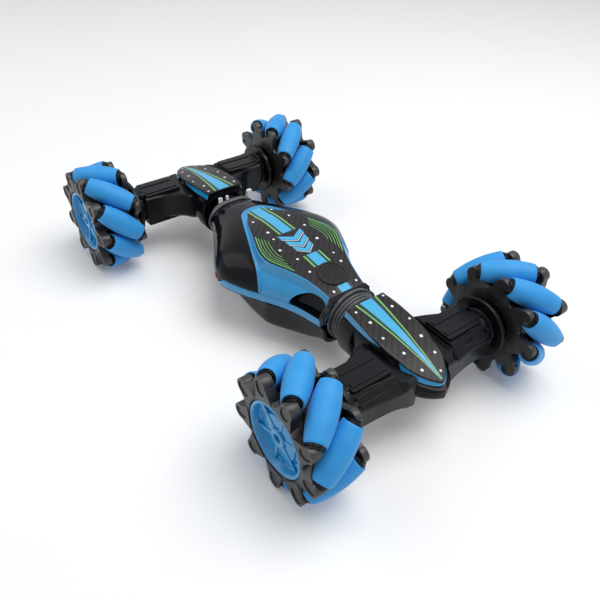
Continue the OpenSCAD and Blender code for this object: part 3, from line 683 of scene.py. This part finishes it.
# Speaker grille ABS, finely textured: matte, dark grey-black, with a grain of about 0.5 mm.
grille_abs, place = finish_named("ABS matte textured", IOR=1.5, Roughness=0.5, Specular_IOR_Level=0.25)
grain = two_tone(grille_abs, place, 2000, 2, "#141415", "#232223")
add(grille_abs, "Bump", {"Height": grain, "Strength": 0.25, "Distance": 0.0003}, drives="Normal")
fall = atan2(flat(SPEAKER_X - 4.6) - flat(SPEAKER_X + 4.6), 9.2)


def tilted(a, b, h):
    return (SPEAKER_X + a * cos(fall) + h * sin(fall), b, flat(SPEAKER_X) + h * cos(fall) - a * sin(fall))


disc = lathe([(0, -5), (13.4, -5), (13.4, 0.9), (13.1, 1.3), (12.5, 1.4), (11.9, 1.2), (11.7, 0.7), (11.5, 0.55),
              (0, 0.55)], 72, tilted)
grille = piece("speaker_grille", disc, "chassis", "speaker_black", grille_abs)
holes = [(HOLE_PITCH * (i + j / 2), HOLE_PITCH * j * sin(pi / 3))
         for i in range(-4, 5) for j in range(-4, 5) if abs(i + j) <= 4]
holes = [(p, q) for p, q in holes if p * p + q * q < HOLE_REACH ** 2]
cuts = merge(*[lathe([(0, -4.2), (HOLE_R, -4.2), (HOLE_R, 2), (0, 2)], 14,
                     lambda a, b, h, p=p, q=q: tilted(p + a, q + b, h)) for p, q in holes])
carve(grille, [piece("grille_holes", cuts, "chassis", "speaker_black")])
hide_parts("speaker")

# Tail lamps
# Two small red acrylic lenses, one at the rear end of each sill.
# They are snapped into black ABS bezels.

LAMP_X = -15

# Acrylic, tinted red: clear gloss with the colour deep in the lens and moulded ribs 0.8 mm apart.
red_lens, place = finish_named("Acrylic red lens", IOR=1.49, Roughness=0.08, Transmission_Weight=0.25)
ribs = add(red_lens, "TexWave", {"Vector": place, "Scale": 200})
add(red_lens, "Mix", {0: ribs.outputs["Fac"], 6: "#8E0F12", 7: "#C4201F"}, data_type="RGBA", drives="Base Color")
add(red_lens, "Bump", {"Height": ribs.outputs["Fac"], "Strength": 0.4, "Distance": 0.0003}, drives="Normal")


def lamp_skin(side, length, tall, swell):
    def at(u, v, depth):
        a, b = 2 * u - 1, 2 * v - 1
        k = 1 - 0.12 * b * b
        x, z = LAMP_X + length / 2 * a * k, AXLE - 0.6 + tall / 2 * b * (1 - 0.12 * a * a)
        return (x, side * (flank(x, max(AXLE, z)) + swell * (1 - a ** 4) * (1 - b ** 4) - 1.5 * depth), z)
    return at


for name, side in SIDES:
    piece("tail_lamp_bezel_" + name, panel(18, 10, lamp_skin(side, 11, 5.6, 0.7)), "chassis", "black_abs", black_abs)
    piece("tail_lamp_" + name, panel(18, 10, lamp_skin(side, 9, 4, 1.3)), "chassis", "black_abs", red_lens)

# Neck rings
# A ring at each end of the body covers the twist joint. The front one is ribbed grey nylon and starts from a black
# collar on the shell; the rear one is plain black, with an oval grey lip, two white tabs and a release lever.

RING = HALF + 0.3
COLLAR_X, COLLAR_LONG = 86.6, 5.7
CAP_X, CAP_LONG = -91, 1.5

# Nylon, moulded in grey: a soft sheen, a slightly cloudy tone over 6 mm.
grey_nylon, place = finish_named("Nylon grey moulded", IOR=1.53, Roughness=0.38)
two_tone(grey_nylon, place, 160, 3, "#3E3F42", "#58595C")


def around_x(x0, turn):
    return lambda a, b, h: (turn * (x0 + h), turn * a, AXLE + b)


ribs = [(13, 0), (24.2, 0), (24.6, 0.4), (24.6, 2.2), (24.2, 2.7), (21.3, 2.8)]
for i in range(3):
    ribs += [(21.3 + 1.6 * sin(pi * k / 8) ** 0.6, 3.3 + 3.4 * i + 2.8 * k / 8) for k in range(9)]
ribs += [(21.2, 13.4), (20.6, 13.7), (16.1, 13.7), (15.9, 13.4), (15.9, 3), (13, 2.7)]
piece("front_neck_ring", lathe(ribs, 96, around_x(RING, 1)), "chassis", "black_abs", grey_nylon)
plain = [(13, 0), (17.4, 0), (17.8, 0.4), (17.8, 13.2), (17.3, 13.7), (16.1, 13.7), (15.9, 13.4), (15.9, 3),
         (13, 2.7)]
piece("rear_neck_ring", lathe(plain, 96, around_x(RING, -1)), "chassis", "black_abs", black_abs)


def collar_skin(u, v, depth):
    x = COLLAR_X + COLLAR_LONG * u
    return (x, *section(min(x, HALF), 1 - 2 * v, 1.6 * depth - 0.55 + 0.5 * (1 - u) ** 3)[1:])


def rear_cap_skin(u, v, depth):
    x = CAP_X - CAP_LONG * u
    return (x, *skin(max(x, -HALF), 184 * v - 2, 1.8 * depth - 0.35 + 0.4 * u ** 3)[1:])


piece("front_collar", panel(10, 90, collar_skin), "chassis", "black_abs", black_abs)
piece("rear_end_cap", panel(6, 80, rear_cap_skin), "chassis", "black_abs", gloss_black)

# Nylon, moulded in natural white: a soft waxy gloss with a cloudy tone over 4 mm.
white_nylon, place = finish_named("Nylon natural white", IOR=1.53, Roughness=0.36, Subsurface_Weight=0.05)
two_tone(white_nylon, place, 250, 2, "#D9DBDD", "#EEF0F1")


def lip_skin(u, v):
    a, b = 2 * pi * v, 2 * pi * u
    r = 17.6 + 1.7 * signed(cos(b), 0.7)
    return (-RING - 2.2 + 2.6 * signed(sin(b), 0.7), r * cos(a) + 8.2 * signed(cos(a), 0.25), AXLE + r * sin(a))


piece("rear_ring_lip", grid(20, 120, lip_skin), "chassis", "black_abs", grey_nylon)


def upright(x, y, z, thick, wide, tall, lean):
    outline = rounded(wide, tall, min(wide, tall) * 0.3, y, z + tall / 2)
    flat_side = prism(outline, -thick / 2, thick / 2)
    return [(x + h - lean * (b - z), a, b) for a, b, h in flat_side[0]], flat_side[1]


tabs = merge(upright(-96.4, -11.6, AXLE + 14, 1.6, 4.4, 8.6, 0.2), upright(-96.6, -3.8, AXLE + 16, 1.6, 3, 6.8, 0.2))
piece("rear_release_tabs", tabs, "chassis", "black_abs", white_nylon, soften=0.4)
piece("rear_release_lever", upright(-96, 21.8, AXLE + 5, 3, 6, 17.4, 0.06), "chassis", "black_abs", white_nylon,
      soften=0.6)

# Axle module housings
# Each module is two black halves with the canopy's gloss, screwed together: a wedge nose with a round tip, a
# smooth drum at its rear end, a neck inside the body's ring and an arm to each wheel. The rear one is turned round.

NOSE_WIDTH = [(108, 23.8), (140, 23.9), (152, 23.6), (168, 22.4), (180, 20.6)]
NOSE_TOP = [(108, 24.2), (148, 20.5), (165, 17.4), (180, 14.3), (192.5, 10.8), (207.5, 7.2)]
NOSE_KEEL = [(108, 21.8), (153, 13.7), (183, 9.4), (198.5, 6.9), (207.5, 5)]
NOSE_START, NOSE_ROUND, NOSE_END, NOSE_WALL = 108.2, 180, 203.4, 1.8
STEP_X, STEP_LONG, STEP_DOWN = 160, 16, 5
ENDS = (("front", 1), ("rear", -1))


def turned(shape, turn):
    return [(turn * x, turn * y, z) for x, y, z in shape[0]], shape[1]


def nose_wide(x):
    if x < NOSE_ROUND:
        return curve(NOSE_WIDTH, x)
    return NOSE_WIDTH[-1][1] * max(0, 1 - ((x - NOSE_ROUND) / (NOSE_END - NOSE_ROUND)) ** 1.8) ** 0.62


def nose_half(sign):
    def at(u, v, depth):
        x = NOSE_START + (NOSE_END - NOSE_START) * (1 - (1 - u) ** 1.7)
        w = nose_wide(x)
        inset = min(NOSE_WALL, w * 0.6) * depth + min(1, w / 6) * rolled(min(v, 1 - v) * 40, 0.5, 0.3)
        step = min(1, max(0, (x - STEP_X) / STEP_LONG))
        down = STEP_DOWN * step * step * (3 - 2 * step)
        h = (curve(NOSE_KEEL, x) if sign < 0 else curve(NOSE_TOP, x) - down) - inset
        a, p = pi * v, 2 / (3.4 if sign > 0 else 3.6)
        return (x, (w - inset) * signed(cos(a), p), AXLE + sign * (0.08 + h * abs(sin(a)) ** p))
    return at


def drum(turn):
    profile = [(20, 0), (25.6, 0), (26.4, 0.4), (26.8, 1.2), (27, 3), (27, 13), (26.6, 15.4), (25.4, 17.2),
               (23, 18.4), (20, 18.6)]
    return lathe(profile, 96, lambda a, b, h: (turn * (NOSE_START + h), turn * a, AXLE + min(b, 17)))


for end, turn in ENDS:
    for part, sign in (("upper", 1), ("lower", -1)):
        half = piece("%s_nose_%s" % (end, part), turned(panel(80, 64, nose_half(sign)), turn), end + "_module",
                     "black_abs", gloss_black)
        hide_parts("%s_%s_housing" % (end, part))
    piece(end + "_neck_drum", drum(turn), end + "_module", "black_abs", black_abs)
    neck = lathe([(8.2, 3.8), (15, 3.8), (15.2, 4.2), (15.2, 15.8), (8.2, 15.8)], 72, around_x(RING, turn))
    piece(end + "_neck", neck, end + "_module", "black_abs", black_abs)
    shaft = lathe([(8, -13), (8, 4)], 40, around_x(RING, turn))
    piece(end + "_twist_shaft", merge(shaft, lathe([(8, -13), (0, -13)], 40, around_x(RING, turn))), end + "_module",
          "motor_steel", motor_steel)

# Arms
# A stepped box runs from the nose to each wheel: a low root, a main box with a sloping front edge and an arched
# underside, a raised lid with two ribs on both faces, long ridges, and a round gear cover that shields the axle.

ARM_REAR = [(16, 133.5), (36, 139.5), (52, 146.5), (69, 147.5)]
ARM_FRONT = [(16, 190), (40, 188.3), (52, 186.5), (69, 185.5)]
ARM_TOP = [(16, 11.4), (28.4, 11.4), (29.4, 14.5), (54, 14.5), (69, 15)]
ARM_FLOOR = [(16, 17.8), (22, 17.6), (30, 14.4), (40, 13), (52, 14.5), (69, 15.5)]
ARM_SLOPE = [(16, 2), (27, 3), (29.4, 8), (69, 8)]
LID_HIGH, RIB_HIGH = 17.4, 18.3
ARM_ROWS = (16, 20, 24, 28.2, 28.6, 29, 29.4, 29.8, 34, 38, 42, 46, 50, 54, 58, 62, 66, 69)
WHEEL_X, WHEEL_Y = 166.5, 106.3


def straight_curve(stations, at):
    for (x0, y0), (x1, y1) in zip(stations, stations[1:]):
        if at <= x1:
            return y0 + (y1 - y0) * (at - x0) / (x1 - x0)
    return stations[-1][1]


def arm_shape():
    points = []
    for y in ARM_ROWS:
        x0, x1 = curve(ARM_REAR, y), curve(ARM_FRONT, y)
        top, low, slope = straight_curve(ARM_TOP, y), curve(ARM_FLOOR, y), straight_curve(ARM_SLOPE, y)
        ring = [(x0 + 4, -low), (x0, 4 - low), (x0, top - 1.6), (x0 + 1.6, top), (x1 - 1.2 * slope - 1, top),
                (x1 - 0.8, top - slope), (x1, top - slope - 2), (x1, 3 - low), (x1 - 3, -low)]
        points += [(x, y, AXLE + z) for x, z in ring]
    n, rows = len(ring), len(ARM_ROWS) - 1
    return points, hoops(rows, n) + [tuple(range(n)), tuple(rows * n + k for k in range(n))]


def mirrored(shape, side):
    return [(x, side * y, z) for x, y, z in shape[0]], shape[1]


def around_y(a, b, h):
    return (WHEEL_X + a, h, AXLE + b)


def arm_lids():
    lids = []
    for sign in (-1, 1):
        low, high = sorted((AXLE + sign * 12, AXLE + sign * LID_HIGH))
        lids.append(prism(rounded(26.6, 37.6, 1.4, 162.1, 48.8), low, high))
        low, high = sorted((AXLE + sign * 17, AXLE + sign * RIB_HIGH))
        for x in (152.6, 166.8):
            lids.append(prism(rounded(5, 34, 0.8, x + 2.5, 48.6), low, high))
    for down in (0.26, 0.72):
        ridge = prism(rounded(2, 36, 0.6, 0, 49), -1, 1.1)
        lids.append(([(176 + 9.8 * down + 0.775 * x + 0.632 * h, y, AXLE + 14.4 - 8 * down - 0.632 * x + 0.775 * h)
                      for x, y, h in ridge[0]], ridge[1]))
    for x, z in ((155, 15.4), (169.4, 15.4), (180.5, 10), (184.4, 2)):
        clip = prism(rounded(4.2, 4.6, 0.8, x, z), 67.6, 72.6)
        lids.append(([(x, y, AXLE + z) for x, z, y in clip[0]], clip[1]))
    return merge(*lids)


cover = [(15, 66), (16.8, 66.4), (17, 67), (17, 74.8), (17.6, 75.6), (26, 75.8), (26.7, 76.2), (27, 77), (27, 78.8),
         (26.7, 79.4), (26, 79.8), (12.6, 79.8)]
bush = [(12.8, 79.4), (12.8, 80.4), (12, 81), (12, 83.6), (11.6, 84.2), (6.3, 84.2)]
for end, turn in ENDS:
    for name, side in SIDES:
        stem = "%s_%s_" % (end, name)
        side *= turn
        body = end + "_module"
        for part, shape, soften in (("arm", arm_shape(), 0.5), ("arm_lids", arm_lids(), 0.4),
                                    ("gear_cover", lathe(cover, 72, around_y), 0),
                                    ("axle_bush", lathe(bush, 56, around_y), 0)):
            piece(stem + part, turned(mirrored(shape, side), turn), body, "black_abs", black_abs, crease=20,
                  soften=soften)

# Module decks and trim
# A printed panel like the body's deck lies flat on each nose, with a tapering stripe to its point.
# Blue ABS strips show below its edges at the rear and as a crescent round its tip.

MODULE_EDGE = [(108.6, 19.7), (120, 20.6), (130, 21.3), (150, 21.7), (160, 20.9), (172, 18.6)]
MODULE_REAR, MODULE_ROUND, MODULE_TIP = 108.6, 172, 199.8
STRIPE_START, STRIPE_END, STRIPE_HALF = 109, 198, 6.2


def module_half(x):
    if x < MODULE_ROUND:
        return curve(MODULE_EDGE, x)
    return MODULE_EDGE[-1][1] * (1 - min(1, (x - MODULE_ROUND) / (MODULE_TIP - MODULE_ROUND)) ** 1.7) ** 0.75


crescent_side = [(x, module_half(x)) for x in (171, 176, 180, 185, 190, 195, 198, 199.3, MODULE_TIP)]
CRESCENT = crescent_side + [(x, -y) for x, y in crescent_side[-2::-1]]


def nose_top(x, y):
    return AXLE + curve(NOSE_TOP, x) + 0.55


def module_deck_skin(u, v, depth):
    x = MODULE_REAR + (MODULE_TIP - MODULE_REAR - 0.1) * (1 - (1 - u) ** 1.5)
    e = module_half(x)
    y = e * (2 * v - 1)
    border = min(e - abs(y), x - MODULE_REAR)
    return (x, y, nose_top(x, y) - rolled(border, 1.2, 0.5) - 1.4 * depth)


def module_tray(u, v, depth):
    x = 108.9 + 90.2 * (1 - (1 - u) ** 1.5)
    return (x, (module_half(x) - 0.4) * (2 * v - 1), nose_top(x, 0) - 0.9 - 7.5 * depth)


def rear_strip(side):
    def at(u, v, depth):
        x = 108.8 + 46 * u
        fade = (1 - u ** 2.2) ** 0.6
        y = module_half(x) - 0.5 + 1.8 * fade * v - 0.8 * depth
        return (x, side * y, nose_top(x, 0) - 0.6 - 6.2 * fade * v)
    return at


def crescent(u, v, depth):
    x, y = spline(CRESCENT, u)
    (x0, y0), (x1, y1) = spline(CRESCENT, max(0, u - 0.004)), spline(CRESCENT, min(1, u + 0.004))
    long = sqrt((x1 - x0) ** 2 + (y1 - y0) ** 2)
    fade = (1 - (2 * u - 1) ** 8) ** 0.5
    tip = (1 - abs(2 * u - 1)) ** 1.5
    off = 2.6 * v * fade * (1 - 0.75 * tip) - 0.5 - 0.8 * depth
    x, y = x - off * (y1 - y0) / long, y + off * (x1 - x0) / long
    return (x, y, nose_top(spline(CRESCENT, u)[0], 0) - 0.55 - 5.6 * v * fade * (1 - 0.5 * tip))


def stripe_half(x):
    return STRIPE_HALF * (STRIPE_END - x) / (STRIPE_END - STRIPE_START)


dots = ((116.1, -15.6, 1.2), (130.6, -13.2, 1.4), (148.2, -15.3, 1.2), (167, -10.6, 1.3), (185, -8.6, 1.2),
        (178, 11.5, 1.2), (161.1, 13, 1.4), (125.9, 14.2, 1.3), (143.2, 17.2, 1.1), (112.4, 16.5, 1.1),
        (192, 4.2, 1.0))
for end, turn in ENDS:
    body = end + "_module"
    piece(end + "_deck", turned(panel(80, 40, module_deck_skin), turn), body, "printed_deck", twill)
    piece(end + "_deck_tray", turned(panel(60, 10, module_tray), turn), body, "black_abs", black_abs)
    for name, side in SIDES:
        piece("%s_trim_%s" % (end, name), turned(panel(40, 10, rear_strip(side)), turn), body, "blue_abs", blue_abs)
    piece(end + "_trim_tip", turned(panel(90, 8, crescent), turn), body, "blue_abs", blue_abs)
    xs = [STRIPE_START + 0.4 + (STRIPE_END - STRIPE_START - 0.8) * i / 60 for i in range(61)]
    blue = [ribbon([(x, 0) for x in xs], [2 * stripe_half(x) for x in xs], nose_top, LIFT * 2, 6)]
    dark = [ribbon([(x, 0) for x in xs], [2 * stripe_half(x) * 1.45 + 0.4 for x in xs], nose_top, LIFT, 6)]
    green = []
    for side in (-1, 1):
        path = [(x, side * (stripe_half(x) * 1.6 + 0.5)) for x in xs]
        green.append(ribbon(path, [0.5 + 1.1 * stripe_half(x) / STRIPE_HALF for x in xs], nose_top, LIFT * 2, 2))
    white = [dot(x, y, r, nose_top, LIFT * 3) for x, y, r in dots]
    for name, marks in (("blue", blue), ("green", green), ("white", white), ("teal", dark)):
        piece("%s_ink_%s" % (end, name), turned(merge(*marks), turn), body, "printed_deck", inks[name])

# Rims
# Each rim is a charcoal ABS moulding with nine lugs on either side that hold the roller pins.
# It keeps its CAD shape, with its edges eased.

# ABS, moulded in charcoal: satin, with a 0.5 mm spark grain and paler scuffed lug edges.
charcoal = grained_abs("ABS charcoal satin", {"Scale": 60}, 2000, ("#171617", "#211F20"), "#575556",
                       wear=0.5, shine=(0.3, 0.5), relief=0.12, IOR=1.53)

WHEELS = (("fr", 1, -1), ("fl", 1, 1), ("rr", -1, -1), ("rl", -1, 1))
for wheel, sx, sy in WHEELS:
    dress("rim_" + wheel, charcoal, bevel=0.5)

# Hub caps
# Each cap is a deep blue ABS dish pressed into the rim's outer face, with a raised ring, a plate and six ribs in its
# floor, pockets between them, and a boss over the axle screw.

dish = [(0, 16.4), (30.1, 16.4), (30.2, 21.6), (29.9, 22.5), (29.2, 22.9), (28, 22.9), (27.3, 22.3), (26.9, 21.2),
        (25.8, 17.4), (25.2, 16.9), (0, 16.8)]
plate = [(8, 16.6), (8, 18.2), (8.4, 18.5), (17.4, 18.5), (17.9, 18.2), (18.3, 16.6)]
boss = [(8.2, 16.6), (7.6, 19.8), (7, 20.4), (6, 20.6), (4, 20.6), (3.5, 20.3), (3.3, 19.6), (3.3, 16.9), (0, 16.9)]
for wheel, sx, sy in WHEELS:
    def outward(a, b, h):
        return (sx * WHEEL_X + a, sy * (WHEEL_Y + h), AXLE + b)

    shapes = [lathe(profile, 80, outward) for profile in (dish, plate, boss)]
    for k in range(6):
        a = radians(60 * k + 20)
        for long, wide, top, reach in ((18.4, 2.4, 19.2, 16.8), (4.6, 5.6, 17.8, 23)):
            bar = prism(rounded(long, wide, 0.7, reach, 0 if long > 9 else 5.5), 16.5, top)
            spun = [outward(x * cos(a) - y * sin(a), x * sin(a) + y * cos(a), h) for x, y, h in bar[0]]
            shapes.append((spun, bar[1]))
    cap = piece("hub_cap_%s_dish" % wheel, merge(*shapes), "wheel_" + wheel, "blue_abs", blue_abs, soften=0.25)
    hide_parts("hub_cap_" + wheel)

# Rollers
# Nine barrel rollers stand at 44 degrees round each rim and turn freely on steel pins. Each is a foam
# rubber sleeve over a core, closed by a black ring and a stepped collar at both ends.

ROLLER_C, TILT, PHASE = 41.4, radians(44), 16.4
SLEEVE_SIDE, SLEEVE_END = 21.4, 22

# EVA foam rubber, moulded: matte, closed cells of about 0.3 mm drawn at 0.6 mm so that they show,
# a soft sheen at grazing angles and slight colour drift over 10 mm.
foam, place = finish_named("EVA foam rubber blue", IOR=1.5, Sheen_Weight=0.15, Sheen_Roughness=0.4)
cells = add(foam, "TexVoronoi", {"Vector": place, "Scale": 1600})
two_tone(foam, place, 100, 2, "#2493DC", "#35A1E7")
add(foam, "MapRange", {"Value": cells, "To Min": 0.5, "To Max": 0.68}, drives="Roughness")
add(foam, "Bump", {"Height": cells, "Strength": 0.12, "Distance": 0.0003}, drives="Normal")


def barrel(s):
    return AXLE - sqrt(ROLLER_C ** 2 + (s * sin(TILT)) ** 2)


side_line = [(barrel(SLEEVE_SIDE * i / 16), SLEEVE_SIDE * i / 16) for i in range(17)]
last = barrel(SLEEVE_END)
sleeve_end = [(last - 0.1, SLEEVE_END - 0.25), (last - 0.5, SLEEVE_END), (7, SLEEVE_END)]
core_end = [(7, SLEEVE_END), (6.9, 21.6), (6.5, 21.6), (6.4, 21.8), (6.4, 23.2), (6.2, 23.4), (5.3, 23.4),
            (5.2, 23.6), (5.2, 24.8), (5, 25), (1.6, 25)]
half = side_line + sleeve_end
sleeve = [(r, -h) for r, h in reversed(half)] + half[1:]


def straight(a, b, h):
    return (a, b, h)


sleeve_mesh = piece("roller_sleeve_pattern", lathe(sleeve, 56, straight), "chassis", "roller_foam", foam)
core = merge(lathe(core_end, 48, straight), lathe([(r, -h) for r, h in core_end], 48, straight))
core_mesh = piece("roller_core_pattern", core, "chassis", "black_abs", black_abs)
for wheel, sx, sy in WHEELS:
    for k in range(9):
        a = radians(PHASE + 40 * k)
        centre = Vector((sx * WHEEL_X + ROLLER_C * cos(a), sy * WHEEL_Y, AXLE + ROLLER_C * sin(a))) * 0.001
        axis = Vector((sx * sin(TILT) * sin(a), sy * cos(TILT), -sx * sin(TILT) * cos(a)))
        seat = Matrix.Translation(centre) @ axis.to_track_quat("Z", "Y").to_matrix().to_4x4()
        name = "roller_%s_%d" % (wheel, k + 1)
        for part, pattern, slot in (("sleeve", sleeve_mesh, "roller_foam"), ("core", core_mesh, "black_abs")):
            made = bpy.data.objects.new("%s_%s" % (name, part), pattern.data)
            scene.collection.objects.link(made)
            made.matrix_world = seat
            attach(made, name)
            if part == "sleeve":
                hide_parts(name)
for pattern in (sleeve_mesh, core_mesh):
    bpy.data.objects.remove(pattern)

# Studio
# A pale matte floor, two soft boxes and an even pale surround, with the camera where the photograph was taken.
# The surround lights the car gently, and shows at a paler level behind it and in its shiny parts.

# Matte card: even near-white, with a very faint mottle over 60 mm. Towards the camera and in mirrors it is lifted
# a little, so that it reads as white paper and keeps the car's shadow.
card, place = finish_named("Card matte white", Roughness=0.9, Emission_Color=(1, 1, 1, 1))
two_tone(card, place, 16, 2, "#F3F3F3", "#F7F7F7")


def shown_or_mirrored(owner):
    rays = add(owner, "LightPath")
    seen = add(owner, "Math", {0: rays.outputs["Is Camera Ray"], 1: rays.outputs["Is Glossy Ray"]},
               operation="MAXIMUM")
    return add(owner, "Math", {0: seen, 1: rays.outputs["Is Transmission Ray"]}, operation="MAXIMUM")


add(card, "Math", {0: shown_or_mirrored(card), 1: 0.1}, operation="MULTIPLY", drives="Emission Strength")
floor_mesh = bpy.data.meshes.new("floor")
floor_mesh.from_pydata([(-5, -5, 0), (5, -5, 0), (5, 5, 0), (-5, 5, 0)], [], [(0, 1, 2, 3)])
floor_mesh.materials.append(card)
floor = bpy.data.objects.new("floor", floor_mesh)
scene.collection.objects.link(floor)

world = bpy.data.worlds.new("Pale surround")
world.use_nodes = True
background = world.node_tree.nodes["Background"]
background.inputs["Color"].default_value = linear("#F0F3F7")
level = add(world, "MapRange", {"Value": shown_or_mirrored(world), "To Min": 0.34, "To Max": 0.85})
world.node_tree.links.new(result(level), background.inputs["Strength"])
scene.world = world
for name, spot, size, power in (("key box", (0.3, 0.4, 1.5), 1.3, 20), ("fill box", (-0.9, -0.9, 1.2), 1.2, 6)):
    light = bpy.data.lights.new(name, "AREA")
    light.shape = "SQUARE"
    light.size = size
    light.energy = power
    lamp = bpy.data.objects.new(name, light)
    lamp.location = spot
    lamp.rotation_euler = (Vector((0, 0, 0.05)) - Vector(spot)).to_track_quat("-Z", "Y").to_euler()
    scene.collection.objects.link(lamp)

CAMERA_AT = (0.39515, -0.28866, 0.40409)
yaw, pitch, roll = radians(142.182), radians(39.255), radians(2.214)
ahead = Vector((cos(yaw) * cos(pitch), sin(yaw) * cos(pitch), -sin(pitch)))
right = Vector((sin(yaw), -cos(yaw), 0))
up = right.cross(ahead)
across = cos(roll) * right + sin(roll) * up
upward = cos(roll) * up - sin(roll) * right
lens = bpy.data.cameras.new("camera")
lens.sensor_width = 36
lens.lens = 38.549
lens.clip_start = 0.01
camera = bpy.data.objects.new("camera", lens)
camera.matrix_world = Matrix.Translation(CAMERA_AT) @ Matrix((across, upward, -ahead)).transposed().to_4x4()
scene.collection.objects.link(camera)
scene.camera = camera
scene.view_settings.view_transform = "Standard"
